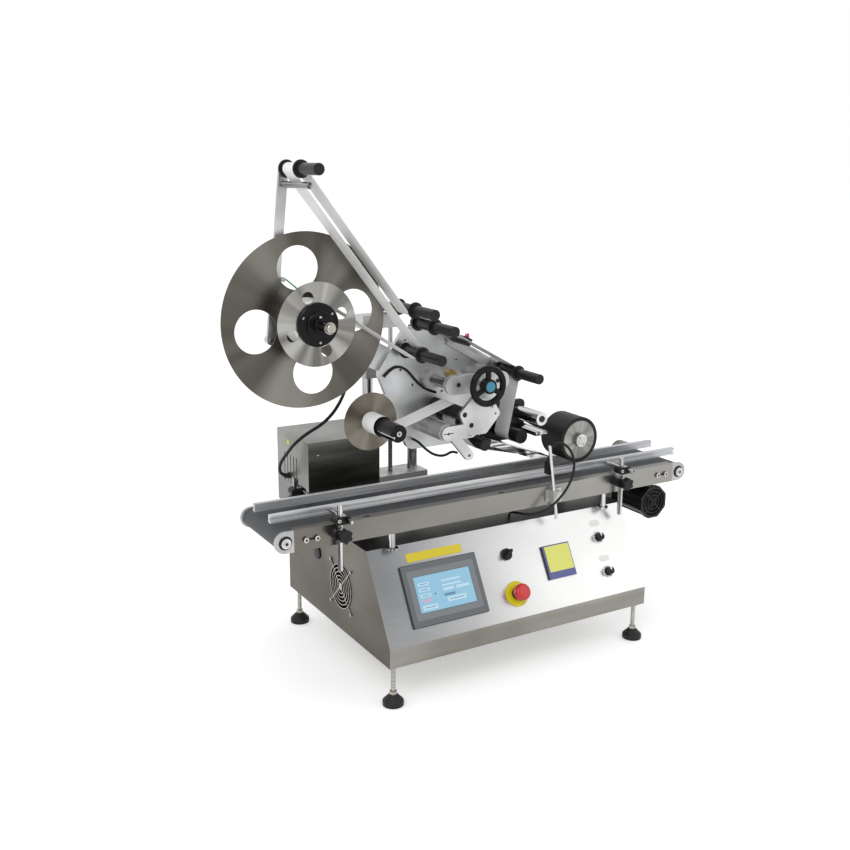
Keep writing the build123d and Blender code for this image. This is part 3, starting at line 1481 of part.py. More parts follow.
def sensor_bracket():
    # A rod on the conveyor's side carries the photo eye that sees each bottle.
    y = conveyor_front - sensor_plate_thickness - sensor_rod_radius * 2
    run = sensor_rod_low_x - sensor_rod_top_x
    rise = sensor_rod_top_z - sensor_rod_low_z
    lean = -math.degrees(math.atan2(run, rise))
    middle = Pos((sensor_rod_top_x + sensor_rod_low_x) / 2, y, (sensor_rod_top_z + sensor_rod_low_z) / 2)
    rod = middle * Rot(0, lean, 0) * Cylinder(sensor_rod_radius, math.hypot(run, rise))
    plate = block(
        sensor_x - sensor_plate_width / 2, sensor_x + sensor_plate_width / 2,
        conveyor_front - sensor_plate_thickness, conveyor_front,
        hub_z - sensor_plate_height / 2, hub_z + sensor_plate_height / 2,
    )
    half = sensor_head_width
    clamp = block(
        sensor_x - half, sensor_x + half, y - sensor_rod_radius * 2, conveyor_front - sensor_plate_thickness,
        hub_z - half, hub_z + half,
    )
    clamp -= middle * Rot(0, lean, 0) * Cylinder(sensor_rod_radius, math.hypot(run, rise))
    rod_share = (sensor_rod_top_z - sensor_z) / rise
    head_x = sensor_rod_top_x + run * rod_share
    head = block(
        head_x - sensor_head_width / 2, head_x + sensor_head_width / 2,
        y + sensor_rod_radius, y + sensor_rod_radius + sensor_head_depth,
        sensor_z - sensor_head_height / 2, sensor_z + sensor_head_height / 2,
    )
    return [rod, plate + clamp, head]


def cord(points, radius, name):
    # Straight runs joined by tangent arcs as large as the runs allow.
    places = [Vector(*point) for point in points]
    runs = [places[i + 1] - places[i] for i in range(len(places) - 1)]
    radii = []
    for before, after in zip(runs[:-1], runs[1:]):
        turn = math.radians(before.get_angle(after))
        shorter = min(before.length, after.length)
        radii.append(0.45 * shorter / math.tan(turn / 2))
    path = FilletPolyline(*points, radius=radii)
    tube = sweep(Plane(path @ 0, z_dir=path % 0) * Circle(radius), path=path)
    ideal = math.pi * radius ** 2 * path.length
    turns = " ".join(f"{value:.0f}" for value in radii)
    lengths = " ".join(f"{run.length:.0f}" for run in runs)
    print(f"{name}: length {path.length:.0f}, volume {tube.volume:.0f} of {ideal:.0f}")
    print(f"  radii {turns}, runs {lengths}")
    return tube


sensor_cable_points = [
    (117, -207, 477), (119, -207, 503), (134, -211, 524), (156, -219, 519), (170, -229, 498),
    (173, -236, 470),
    (166, -239, 441), (150, -240, 414), (128, -239, 391), (104, -235, 371), (80, -223, 358), (60, -203, 352),
    (47, -180, 353), (40, -158, 350), (40, -158, 332.1),
]
harness_points = [
    (-380.1, 196, 410), (-399, 195, 413), (-411, 187, 430), (-413, 170, 455), (-408, 142, 483),
    (-401, 114, 512), (-378, 92, 540), (-340, 80, 562), (-305, 84, 590), (-270, 106, 624),
    (-238, 150, 652), (-208, 200, 660), (-179.6, 200, 660),
]
plate_cable_points = [
    (-246, -51.1, 690), (-230, -51.1, 706), (-208, -51.1, 712), (-186, -51.1, 702), (-170, -51.1, 684),
    (-152, -51.1, 664), (-130, -51.1, 648), (-106, -51.1, 640),
]
arm_cable_points = [
    (-166, -48.1, 532), (-166, -72, 532), (-162, -96, 520), (-150, -118, 508), (-134, -138, 508),
    (-120, -150, 522), (-120, -169.9, 522),
]


def build():
    parts = {
        "cabinet": [cabinet_shell(), cabinet_base()],
        "levelling_feet": levelling_feet(),
        "touch_panel": touch_panel(),
        "cabinet_fittings": cabinet_fittings(),
        "side_fan": side_fan(),
        "standoff_posts": standoff_posts(),
        "conveyor_frame": conveyor_side_plates() + conveyor_bed(),
        "conveyor_belt": conveyor_belt(),
        "conveyor_end_plates": conveyor_end_plates(),
        "gear_motor": gear_motor(),
        "drive_housing": drive_housing() + [timing_belt()],
        "rail_brackets": rail_brackets(),
        "driver_box": driver_box(),
        "lift_columns": column_base() + lift_columns(),
        "sensor_bracket": sensor_bracket(),
        "sensor_cable": cord(sensor_cable_points, cable_radius, "sensor_cable"),
        "estop_button": estop_button(),
        "selector_knob": selector_knob(),
        "speed_dial_upper": speed_dial(dial_up),
        "speed_dial_lower": speed_dial(dial_up - dial_pitch),
        "fan_rotor": fan_rotor(),
        "drive_roller": drive_roller(),
        "idle_roller": conveyor_roller(hub_left, hub_boss_height),
        "motor_pulley": motor_pulley(),
        "front_guide_rail": guide_rail(front_rail_y, False),
        "back_guide_rail": guide_rail(back_rail_y, True),
        "rail_knob_front_left": rail_knob(bracket_places()[0]),
        "rail_knob_front_right": rail_knob(bracket_places()[1]),
        "rail_knob_back_left": rail_knob(bracket_places()[2]),
        "rail_knob_back_right": rail_knob(bracket_places()[3]),
        "lift_screw": lift_screw(),
        "lift_carriage": lift_carriage(),
        "cross_frame": cross_frame(),
        "cross_handwheel": cross_handwheel(),
        "main_plate": main_plate(),
        "side_plate": side_plate(),
        "head_fixings": head_fixings() + label_sensor(),
        "traction_motor": traction_motor(),
        "reel_arm": reel_arm(),
        "nose_plate": nose_plate(),
        "peel_plate": peel_plate(),
        "label_web": label_web(),
        "brake_belt": brake_belt(),
        "head_harness": cord(harness_points, harness_radius, "head_harness"),
        "plate_cable": cord(plate_cable_points, cable_radius, "plate_cable"),
        "arm_cable": cord(arm_cable_points, cable_radius, "arm_cable"),
        "label_reel": label_reel(),
        "dancer_arm": dancer_arm(),
        "top_guide_roller": guide_roller(top_guide_x, top_guide_z, dancer_front),
        "lower_guide_roller": guide_roller(lower_guide_x, lower_guide_z, plate_front),
        "first_guide_roller": guide_roller(first_guide_x, first_guide_z, plate_front),
        "second_guide_roller": guide_roller(second_guide_x, second_guide_z, plate_front),
        "fourth_guide_roller": guide_roller(fourth_guide_x, fourth_guide_z, plate_front),
        "hold_down_roller": short_roller(
            hold_down_x, hold_down_z, hold_down_radius, plate_front - nose_thickness
        ),
        "liner_roller": short_roller(liner_guide_x, liner_guide_z, liner_guide_radius, plate_front),
        "traction_roller": driven_roller(
            traction_x, traction_z, traction_radius, plate_back + journal_radius
        ),
        "pinch_roller": driven_roller(pinch_x, pinch_z, pinch_radius, plate_back),
        "rewind_mandrel": rewind_mandrel(),
        "press_arm": press_arm(),
        "press_roller": press_roller(),
    }
    os.makedirs("parts", exist_ok=True)
    for name, shape in parts.items():
        pieces = shape if isinstance(shape, list) else [shape]
        solids = [Pos(centre_shift, depth_shift, 0) * solid for piece in pieces for solid in piece.solids()]
        whole = Compound(children=solids) if len(solids) > 1 else solids[0]
        export_step(whole, f"parts/{name}.step")


build()
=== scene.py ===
import bpy
import bmesh
import json
import math
from mathutils import Euler, Matrix, Vector

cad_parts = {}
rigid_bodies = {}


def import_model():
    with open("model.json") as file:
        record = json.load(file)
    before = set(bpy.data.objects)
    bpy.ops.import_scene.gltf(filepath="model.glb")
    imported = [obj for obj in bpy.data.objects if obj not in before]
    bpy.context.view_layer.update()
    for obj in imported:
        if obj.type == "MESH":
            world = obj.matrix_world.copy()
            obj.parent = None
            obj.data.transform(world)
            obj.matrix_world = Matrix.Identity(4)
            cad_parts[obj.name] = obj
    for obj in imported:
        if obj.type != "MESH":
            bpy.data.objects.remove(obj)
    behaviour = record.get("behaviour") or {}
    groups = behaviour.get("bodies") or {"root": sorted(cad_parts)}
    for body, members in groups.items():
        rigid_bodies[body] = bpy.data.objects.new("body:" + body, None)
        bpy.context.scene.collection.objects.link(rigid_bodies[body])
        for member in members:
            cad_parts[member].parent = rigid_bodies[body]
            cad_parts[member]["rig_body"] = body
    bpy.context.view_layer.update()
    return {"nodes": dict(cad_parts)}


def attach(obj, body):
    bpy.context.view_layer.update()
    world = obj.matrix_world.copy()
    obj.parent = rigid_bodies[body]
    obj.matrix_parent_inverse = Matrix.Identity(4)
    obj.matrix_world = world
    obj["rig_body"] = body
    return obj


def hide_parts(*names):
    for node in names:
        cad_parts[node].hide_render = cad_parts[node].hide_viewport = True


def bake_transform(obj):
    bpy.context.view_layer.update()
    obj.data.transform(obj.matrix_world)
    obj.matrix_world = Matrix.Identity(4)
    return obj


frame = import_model()
nodes = frame["nodes"]
bodyOf = {name: node["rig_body"] for name, node in nodes.items()}
print("frame loaded:", len(nodes), "nodes")

# The origin lies under the middle of the whole machine, the sizes below count in mm from the cabinet.
machineShift = Vector((0.033, 0.020, 0.0))


def at(x, y, z):
    return Vector((x, y, z)) / 1000 + machineShift


def fromMachine(spot):
    return (spot - machineShift) * 1000


# Materials: metals get clouds of painted reflection and uneven tone under brushed lines, other finishes a fine grain.

finishes = {}


def connect(tree, node, inputs):
    # Links the inputs that are given as sockets and fills in the others.
    for label, value in inputs.items():
        if isinstance(value, bpy.types.NodeSocket):
            tree.links.new(value, node.inputs[label])
        else:
            node.inputs[label].default_value = value


def wired(tree, kind, inputs=None, **settings):
    node = tree.nodes.new(kind)
    for key, value in settings.items():
        setattr(node, key, value)
    connect(tree, node, inputs or {})
    return node


def mathNode(tree, operation, first, second):
    return wired(tree, "ShaderNodeMath", {0: first, 1: second}, operation=operation).outputs[0]


def startMaterial(name, colour, roughness, metallic=0.0, coat=0.0):
    material = bpy.data.materials.new(name)
    finishes[name] = material
    material.use_nodes = True
    tree = material.node_tree
    shader = tree.nodes["Principled BSDF"]
    connect(tree, shader, {
        "Base Color": (*colour, 1), "Roughness": roughness, "Metallic": metallic, "Coat Weight": coat})
    material.diffuse_color = (*colour, 1)
    return tree, shader


def noiseOn(tree, scale, detail=3.0, stretch=(1, 1, 1), source=None):
    if source is None:
        coords = wired(tree, "ShaderNodeTexCoord")
        mapping = wired(tree, "ShaderNodeMapping", {"Vector": coords.outputs["Object"], "Scale": stretch})
        source = mapping.outputs["Vector"]
    return wired(tree, "ShaderNodeTexNoise", {"Vector": source, "Scale": scale, "Detail": detail}).outputs["Fac"]


def spread(tree, value, low, high):
    return wired(tree, "ShaderNodeMapRange", {
        "Value": value, "From Min": 0.3, "From Max": 0.7, "To Min": low, "To Max": high}).outputs["Result"]


def ramped(tree, value, dark, light, low=0.3, high=0.7):
    ramp = wired(tree, "ShaderNodeValToRGB", {"Fac": value})
    for stop, place, colour in zip(ramp.color_ramp.elements, (low, high), (dark, light)):
        stop.position = place
        stop.color = (*colour, 1)
    return ramp.outputs["Color"]


def layered(tree, shader, tone, lines):
    blend = wired(tree, "ShaderNodeMix", {0: 1.0, 6: tone, 7: lines}, data_type="RGBA", blend_type="MULTIPLY")
    tree.links.new(blend.outputs[2], shader.inputs["Base Color"])


def dent(tree, shader, value, strength, distance):
    bump = wired(tree, "ShaderNodeBump", {"Height": value, "Strength": strength, "Distance": distance})
    tree.links.new(bump.outputs["Normal"], shader.inputs["Normal"])


def halfway(dark, light):
    return [(a + b) / 2 for a, b in zip(dark, light)]


def brushedMetal(name, dark, light, roughness, stretch, cloud=5.0, cloudStretch=(1, 1, 1), change=0.08, paintedHighlightSpan=None,
                 metallic=1.0):
    # Clouds from dark to light, painted reflections and uneven tone, under brushed lines; where a span is given, a
    # painted highlight runs from dark to light along the machine.
    tree, shader = startMaterial(name, halfway(dark, light), roughness, metallic)
    tone = spread(tree, noiseOn(tree, cloud, 2.5, cloudStretch), 0.0, 1.0)
    if paintedHighlightSpan:
        coords = wired(tree, "ShaderNodeTexCoord")
        split = wired(tree, "ShaderNodeSeparateXYZ", {0: coords.outputs["Object"]})
        run = wired(tree, "ShaderNodeMapRange", {
            "Value": split.outputs["X"], "From Min": paintedHighlightSpan[0] / 1000, "From Max": paintedHighlightSpan[1] / 1000},
            interpolation_type="SMOOTHSTEP")
        tone = wired(tree, "ShaderNodeMix", {0: 0.3, 2: run.outputs["Result"], 3: tone}).outputs[0]
    grain = noiseOn(tree, 60.0, 4.0, stretch)
    layered(tree, shader, ramped(tree, tone, dark, light, 0.0, 1.0), ramped(tree, grain, [1 - change] * 3, [1] * 3))
    connect(tree, shader, {"Roughness": spread(tree, grain, roughness * 0.85, roughness * 1.2)})
    dent(tree, shader, grain, 0.1, 0.0003)


def turnedMetal(name, x, z, dark, light, roughness, fans=1.6):
    # Metal turned on a lathe: light and dark fans round the axis, which are painted highlights and reflections, and
    # fine rings.
    tree, shader = startMaterial(name, halfway(dark, light), roughness, metallic=1.0)
    centre = at(x, 0, z)
    coords = wired(tree, "ShaderNodeTexCoord")
    fromAxis = wired(tree, "ShaderNodeMapping", {
        "Vector": coords.outputs["Object"], "Location": (-centre.x, 0, -centre.z), "Scale": (1, 0, 1)}).outputs[0]
    spoke = wired(tree, "ShaderNodeVectorMath", {0: fromAxis}, operation="NORMALIZE")
    reach = wired(tree, "ShaderNodeVectorMath", {0: fromAxis}, operation="LENGTH")
    rings = wired(tree, "ShaderNodeTexNoise", {"W": reach.outputs["Value"], "Scale": 1400.0},
                  noise_dimensions="1D").outputs["Fac"]
    # The fans are painted highlights and reflections.
    fan = noiseOn(tree, fans, 1.5, source=spoke.outputs["Vector"])
    layered(tree, shader, ramped(tree, fan, dark, light, 0.36, 0.66), ramped(tree, rings, [0.9] * 3, [1] * 3))
    connect(tree, shader, {"Roughness": spread(tree, rings, roughness * 0.85, roughness * 1.2)})
    dent(tree, shader, rings, 0.08, 0.0002)


def polishedBar(name, stretch, dark=0.07, light=0.62):
    # Chrome on a round bar, with long dark and light lines painted into its colour as reflections.
    tree, shader = startMaterial(name, [(dark + light) / 2] * 3, 0.14, metallic=1.0)
    lines = noiseOn(tree, 150.0, 1.0, stretch)
    connect(tree, shader, {
        "Base Color": ramped(tree, lines, [dark] * 3, [light] * 3, 0.40, 0.60),
        "Roughness": spread(tree, noiseOn(tree, 500.0, 2.0), 0.10, 0.18)})


def plainFinish(name, colour, roughness, metallic=0.0, coat=0.0, grainScale=400.0, change=0.08, bump=0.05,
                specular=0.5):
    tree, shader = startMaterial(name, colour, roughness, metallic, coat)
    grain = noiseOn(tree, grainScale, 3.0)
    dark = [c * (1 - change) for c in colour]
    light = [min(1, c * (1 + change)) for c in colour]
    connect(tree, shader, {
        "Specular IOR Level": specular, "Base Color": ramped(tree, grain, dark, light),
        "Roughness": spread(tree, grain, roughness * 0.85, min(1, roughness * 1.2))})
    dent(tree, shader, grain, bump, 0.0003)


def glowing(name, colour, strength):
    tree, shader = startMaterial(name, colour, 0.25)
    grain = noiseOn(tree, 900.0, 1.0)
    connect(tree, shader, {
        "Base Color": ramped(tree, grain, [c * 0.97 for c in colour], colour),
        "Emission Color": (*colour, 1), "Emission Strength": strength})


reelAt = {"x": -451.0, "z": 836.0}
rewindAt = {"x": -294.0, "z": 596.0}
pressAt = {"x": 248.0, "z": 504.0}

brushedMetal("cabinetSteel", (0.26, 0.25, 0.23), (0.42, 0.41, 0.39), 0.34, (0.25, 9, 9))
# The sides, the slanted panel and the front band are copies of the cabinet steel with painted light: painted shade on
# the sides and band, a painted highlight on the panel.
brushedMetal("shadedSideSteel", (0.072, 0.063, 0.048), (0.205, 0.19, 0.163), 0.36, (9, 0.25, 9), 3.5, (1, 0.7, 1.3))
# The slanted panel's steel carries a painted highlight, darker at the left and brighter towards the right.
brushedMetal("litPanelSteel", (0.165, 0.17, 0.18), (0.76, 0.76, 0.75), 0.30, (0.25, 12, 12), 3.0, (0.6, 1, 1),
    change=0.07, paintedHighlightSpan=(-400, 180))
brushedMetal("shadedBandSteel", (0.20, 0.188, 0.165), (0.33, 0.32, 0.295), 0.34, (0.2, 10, 14), 6.0, (0.6, 1, 1))
# The driver box front is a darker copy of the driver box steel with horizontal streaks: painted shade and painted
# reflections.
brushedMetal("driverSteel", (0.16, 0.158, 0.15), (0.32, 0.318, 0.305), 0.36, (9, 0.4, 9), 6.0)
brushedMetal("shadedDriverFront", (0.055, 0.055, 0.05), (0.23, 0.225, 0.205), 0.30, (0.3, 9, 12), 9.0, (0.35, 1, 2.4))
# The conveyor steel carries a painted highlight, darker at the left and brighter towards the right.
brushedMetal("conveyorSteel", (0.135, 0.124, 0.105), (0.36, 0.355, 0.335), 0.30, (0.15, 10, 10), 5.0, (0.5, 1, 1),
    paintedHighlightSpan=(-560, 420))
brushedMetal("slabSteel", (0.16, 0.15, 0.125), (0.38, 0.37, 0.35), 0.30, (0.3, 9, 9), 12.0)
brushedMetal("railAluminium", (0.44, 0.45, 0.47), (0.80, 0.81, 0.82), 0.30, (0.1, 10, 10), 8.0, (0.25, 1, 3),
    metallic=0.55)
brushedMetal("plateAluminium", (0.33, 0.34, 0.345), (0.70, 0.71, 0.72), 0.36, (7, 7, 7), 9.0, change=0.05)
brushedMetal("whiteAluminium", (0.42, 0.425, 0.425), (0.66, 0.665, 0.66), 0.42, (6, 6, 6), 12.0, change=0.04)
brushedMetal("castAluminium", (0.40, 0.405, 0.40), (0.62, 0.62, 0.61), 0.42, (6, 6, 6), 25.0,
    change=0.1, metallic=0.6)
polishedBar("chromeAcross", (1, 0.02, 1))
polishedBar("chromeUpright", (1, 1, 0.02))
polishedBar("chromeAlong", (0.02, 1, 1))
plainFinish("chromePlate", (0.62, 0.62, 0.63), 0.16, 1.0, bump=0.01, change=0.1, grainScale=25.0)
polishedBar("guideGrey", (1, 0.02, 1), 0.08, 0.34)
plainFinish("zincScrew", (0.52, 0.51, 0.49), 0.25, 1.0, change=0.15)
plainFinish("guardWire", (0.40, 0.38, 0.34), 0.25, 1.0, change=0.2, grainScale=90.0)
# The back reel disc is a darker copy of the turned steel, painted dark reflection.
turnedMetal("darkReflectionReelSteel", reelAt["x"], reelAt["z"], (0.085, 0.079, 0.066), (0.235, 0.225, 0.20), 0.32)
turnedMetal("flangeSteel", reelAt["x"], reelAt["z"], (0.16, 0.155, 0.14), (0.44, 0.435, 0.41), 0.30, 2.4)
turnedMetal("rewindSteel", rewindAt["x"], rewindAt["z"], (0.11, 0.097, 0.075), (0.23, 0.21, 0.175), 0.34, 1.2)
turnedMetal("wheelSteel", pressAt["x"], pressAt["z"], (0.225, 0.222, 0.205), (0.37, 0.365, 0.345), 0.36, 2.4)
plainFinish("blackScrew", (0.035, 0.035, 0.038), 0.35, 0.6, specular=0.22)
plainFinish("blackPlastic", (0.012, 0.012, 0.013), 0.36, specular=0.22)
plainFinish("blackGloss", (0.007, 0.007, 0.008), 0.18, bump=0.01, specular=0.14)
plainFinish("blackAnodised", (0.013, 0.014, 0.015), 0.32, 0.0, specular=0.22)
plainFinish("tyreRubber", (0.011, 0.011, 0.011), 0.45, grainScale=900.0, bump=0.12, specular=0.22)
plainFinish("footRubber", (0.022, 0.021, 0.020), 0.45, specular=0.22)
plainFinish("cableSkin", (0.010, 0.010, 0.011), 0.34, specular=0.22)
plainFinish("beltFabric", (0.060, 0.066, 0.072), 0.6, grainScale=1400.0, bump=0.2, change=0.2)
plainFinish("bezelGrey", (0.118, 0.130, 0.140), 0.42, change=0.03)
plainFinish("bezelPale", (0.185, 0.20, 0.212), 0.42, change=0.03)
plainFinish("bezelDark", (0.030, 0.034, 0.039), 0.45, change=0.03)
plainFinish("stopRed", (0.56, 0.010, 0.012), 0.22, 0.0, 0.3, change=0.03)
plainFinish("stopYellow", (0.72, 0.60, 0.004), 0.4, change=0.03)
plainFinish("tealCap", (0.035, 0.22, 0.33), 0.3, change=0.06)
plainFinish("pinkFitting", (0.50, 0.035, 0.075), 0.3, change=0.06)
plainFinish("redLens", (0.45, 0.012, 0.012), 0.12, 0.0, 0.5, change=0.04)
plainFinish("brassNut", (0.46, 0.34, 0.12), 0.3, 1.0, change=0.15)
plainFinish("greenBelt", (0.02, 0.30, 0.10), 0.4)
plainFinish("paperWeb", (0.92, 0.92, 0.91), 0.5, change=0.015, bump=0.02)
plainFinish("labelPaper", (0.86, 0.86, 0.85), 0.42, change=0.01, bump=0.01)
plainFinish("blankWhite", (0.84, 0.84, 0.83), 0.4, change=0.015, bump=0.01)
plainFinish("plateBlue", (0.075, 0.08, 0.27), 0.3, 0.0, 0.3, change=0.02)
plainFinish("plateYellow", (0.72, 0.73, 0.15), 0.35, 0.0, 0.2, change=0.02)
plainFinish("stripYellow", (0.70, 0.56, 0.006), 0.35, 0.0, 0.2, change=0.02)
glowing("screenBlue", (0.26, 0.50, 0.66), 0.12)
glowing("screenPale", (0.46, 0.66, 0.78), 0.12)
glowing("screenDeep", (0.10, 0.24, 0.38), 0.1)
glowing("screenPink", (0.62, 0.36, 0.52), 0.12)
print("materials made:", len(finishes))


# Helpers that build and finish pieces.

def placed(name, data):
    obj = bpy.data.objects.new(name, data)
    bpy.context.scene.collection.objects.link(obj)
    return obj


def meshFrom(work, name):
    mesh = bpy.data.meshes.new(name)
    work.to_mesh(mesh)
    work.free()
    return mesh


def evaluatedMesh(obj):
    graph = bpy.context.evaluated_depsgraph_get()
    return bpy.data.meshes.new_from_object(obj.evaluated_get(graph))


def applyModifiers(obj):
    old = obj.data
    obj.data = evaluatedMesh(obj)
    obj.modifiers.clear()
    obj.data.name = obj.name
    bpy.data.meshes.remove(old)


def sharpen(mesh, angle):
    work = bmesh.new()
    work.from_mesh(mesh)
    limit = math.radians(angle)
    for edge in work.edges:
        edge.smooth = len(edge.link_faces) == 2 and edge.calc_face_angle(0) <= limit
    for face in work.faces:
        face.smooth = True
    work.to_mesh(mesh)
    work.free()


def flattenNormals(obj):
    # Large faces stay flat and only the broken edges shade round.
    weighted = obj.modifiers.new("flat faces", "WEIGHTED_NORMAL")
    weighted.keep_sharp = True
    weighted.weight = 90
    applyModifiers(obj)


def finishObject(name, mesh, finish, body, smoothAngle=32.0, bevel=0.0, segments=2):
    obj = placed(name, mesh)
    if finish and not mesh.materials:
        mesh.materials.append(finishes[finish])
    for polygon in mesh.polygons:
        polygon.use_smooth = True
    if bevel > 0:
        edge = obj.modifiers.new("edge", "BEVEL")
        edge.width = bevel / 1000
        edge.segments = segments
        edge.limit_method = "ANGLE"
        edge.angle_limit = math.radians(smoothAngle)
        edge.use_clamp_overlap = True
        applyModifiers(obj)
    sharpen(obj.data, smoothAngle)
    flattenNormals(obj)
    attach(obj, body)
    return obj


def softened(node, finish, bevel=0.6, weld=0.01, flat=1.5, name=None, segments=2):
    # A copy of a solid from the frame with its facets joined and its edges broken.
    work = bmesh.new()
    work.from_mesh(nodes[node].data)
    bmesh.ops.remove_doubles(work, verts=work.verts, dist=weld / 1000)
    bmesh.ops.dissolve_limit(work, angle_limit=math.radians(flat), verts=work.verts, edges=work.edges)
    mesh = meshFrom(work, (name or node) + "_mesh")
    obj = finishObject(name or node + "_dressed", mesh, finish, bodyOf[node], bevel=bevel, segments=segments)
    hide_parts(node)
    return obj


def paint(obj, rules):
    # Each rule is a finish and a test of a face's middle and normal, in mm from the cabinet.
    mesh = obj.data
    for finish, test in rules:
        index = len(mesh.materials)
        mesh.materials.append(finishes[finish])
        for polygon in mesh.polygons:
            if test(*fromMachine(polygon.center), polygon.normal):
                polygon.material_index = index


def lathed(name, profile, place, axis, finish, body, steps=64, smoothAngle=30.0):
    # The profile is radius and distance along the axis, in mm, from one closed end to the other.
    frameTurn = Vector(axis).normalized().to_track_quat("Z", "Y").to_matrix()
    work = bmesh.new()
    rings = []
    for radius, height in profile:
        if radius <= 0:
            rings.append([work.verts.new(place + frameTurn @ Vector((0, 0, height / 1000)))])
            continue
        ring = []
        for step in range(steps):
            angle = 2 * math.pi * step / steps
            local = Vector((radius * math.cos(angle), radius * math.sin(angle), height)) / 1000
            ring.append(work.verts.new(place + frameTurn @ local))
        rings.append(ring)
    for lower, upper in zip(rings[:-1], rings[1:]):
        for step in range(steps):
            follow = (step + 1) % steps
            if len(lower) == 1 and len(upper) > 1:
                work.faces.new((lower[0], upper[step], upper[follow]))
            elif len(upper) == 1 and len(lower) > 1:
                work.faces.new((lower[step], lower[follow], upper[0]))
            elif len(lower) > 1:
                work.faces.new((lower[step], lower[follow], upper[follow], upper[step]))
    bmesh.ops.remove_doubles(work, verts=work.verts, dist=1e-6)
    bmesh.ops.recalc_face_normals(work, faces=work.faces)
    return finishObject(name, meshFrom(work, name), finish, body, smoothAngle)


def boxed(name, low, high, finish, body, bevel=0.5):
    work = bmesh.new()
    bmesh.ops.create_cube(work, size=1.0)
    size = Vector([(b - a) / 1000 for a, b in zip(low, high)])
    middle = at(*[(a + b) / 2 for a, b in zip(low, high)])
    for vert in work.verts:
        vert.co = Vector((vert.co.x * size.x, vert.co.y * size.y, vert.co.z * size.z)) + middle
    return finishObject(name, meshFrom(work, name), finish, body, bevel=bevel)


def sheetFromCurves(name, loops, thickness, place, finish, body, bevel=0.3):
    # Flat loops, outer first and holes after, in mm from the place's plane.
    curve = bpy.data.curves.new(name, "CURVE")
    curve.dimensions = "2D"
    curve.fill_mode = "BOTH"
    curve.extrude = max(thickness / 2 - bevel, 0.01) / 1000
    curve.bevel_depth = bevel / 1000
    curve.bevel_resolution = 2
    curve.offset = -bevel / 1000
    for loop in loops:
        spline = curve.splines.new("POLY")
        spline.points.add(len(loop) - 1)
        for point, (u, v) in zip(spline.points, loop):
            point.co = (u / 1000, v / 1000, 0, 1)
        spline.use_cyclic_u = True
    temp = placed(name, curve)
    mesh = evaluatedMesh(temp)
    bpy.data.objects.remove(temp)
    mesh.transform(place)
    mesh.name = name
    return finishObject(name, mesh, finish, body)


def circlePoints(x, z, radius, count=64):
    return [
        (x + radius * math.cos(2 * math.pi * i / count), z + radius * math.sin(2 * math.pi * i / count))
        for i in range(count)
    ]


def uprightPlane(x, y, z):
    # Maps flat loops onto a plane that faces the operator.
    return Matrix.Translation(at(x, y, z)) @ Euler((math.radians(90), 0, 0)).to_matrix().to_4x4()


front = Vector((0, -1, 0))
rear = Vector((0, 1, 0))
upward = Vector((0, 0, 1))
leftward = Vector((-1, 0, 0))
print("helpers ready")

# Camera, floor and light.

cameraSetup = {"place": (-1.3396, -2.1093, 1.1604), "turn": (76.13941, -0.52428, -30.64064), "lens": 44.43}
cameraData = bpy.data.cameras.new("photoCamera")
cameraData.lens = cameraSetup["lens"]
cameraData.sensor_width = 36.0
cameraObject = placed("photoCamera", cameraData)
cameraObject.location = cameraSetup["place"]
cameraObject.rotation_euler = [math.radians(v) for v in cameraSetup["turn"]]
bpy.context.scene.camera = cameraObject
bpy.context.scene.view_settings.view_transform = "Standard"


def seenRays(tree):
    # One for rays from the camera and for rays that metal or glass sends on.
    lightPath = wired(tree, "ShaderNodeLightPath")
    total = lightPath.outputs["Is Camera Ray"]
    for label in ("Is Glossy Ray", "Is Transmission Ray"):
        total = mathNode(tree, "MAXIMUM", total, lightPath.outputs[label])
    return total


studio = {"floorGlow": 0.34, "worldPlain": 0.80, "worldSeen": 1.0}
floorMesh = bpy.data.meshes.new("floor")
floorMesh.from_pydata([(-30, -30, 0), (30, -30, 0), (30, 30, 0), (-30, 30, 0)], [], [(0, 1, 2, 3)])
floorObject = placed("floor", floorMesh)
floorTree, floorShader = startMaterial("floorWhite", (0.93, 0.93, 0.93), 0.7)
floorMesh.materials.append(finishes["floorWhite"])
floorObject.location.z = -0.0005
connect(floorTree, floorShader, {
    "Emission Color": (1, 1, 1, 1),
    "Emission Strength": mathNode(floorTree, "MULTIPLY", seenRays(floorTree), studio["floorGlow"])})

world = bpy.data.worlds.new("studio")
bpy.context.scene.world = world
world.use_nodes = True
worldTree = world.node_tree
worldTree.nodes.clear()
plainLight = wired(worldTree, "ShaderNodeBackground", {"Color": (1, 1, 1, 1), "Strength": studio["worldPlain"]})
seenLight = wired(worldTree, "ShaderNodeBackground", {"Color": (1, 1, 1, 1), "Strength": studio["worldSeen"]})
worldMix = wired(worldTree, "ShaderNodeMixShader", {
    "Fac": seenRays(worldTree), 1: plainLight.outputs["Background"], 2: seenLight.outputs["Background"]})
wired(worldTree, "ShaderNodeOutputWorld", {"Surface": worldMix.outputs["Shader"]})

lamps = {  # place, aim, width and height in metres, watts
    "keyLamp": ((-2.4, -2.2, 3.2), (0, 0, 0.5), (2.2, 1.6), 34),
    "sideLamp": ((2.6, -2.4, 1.9), (0.2, -0.2, 0.35), (1.8, 1.8), 7),
}
for lampName, (place, target, size, power) in lamps.items():
    lampData = bpy.data.lights.new(lampName, "AREA")
    lampData.shape = "RECTANGLE"
    lampData.size, lampData.size_y = size
    lampData.energy = power
    lampObject = placed(lampName, lampData)
    lampObject.location = place
    lampObject.rotation_euler = (Vector(target) - Vector(place)).to_track_quat("-Z", "Y").to_euler()
print("camera and light set")

# Cables: each is one smooth line through the route that the solid has.

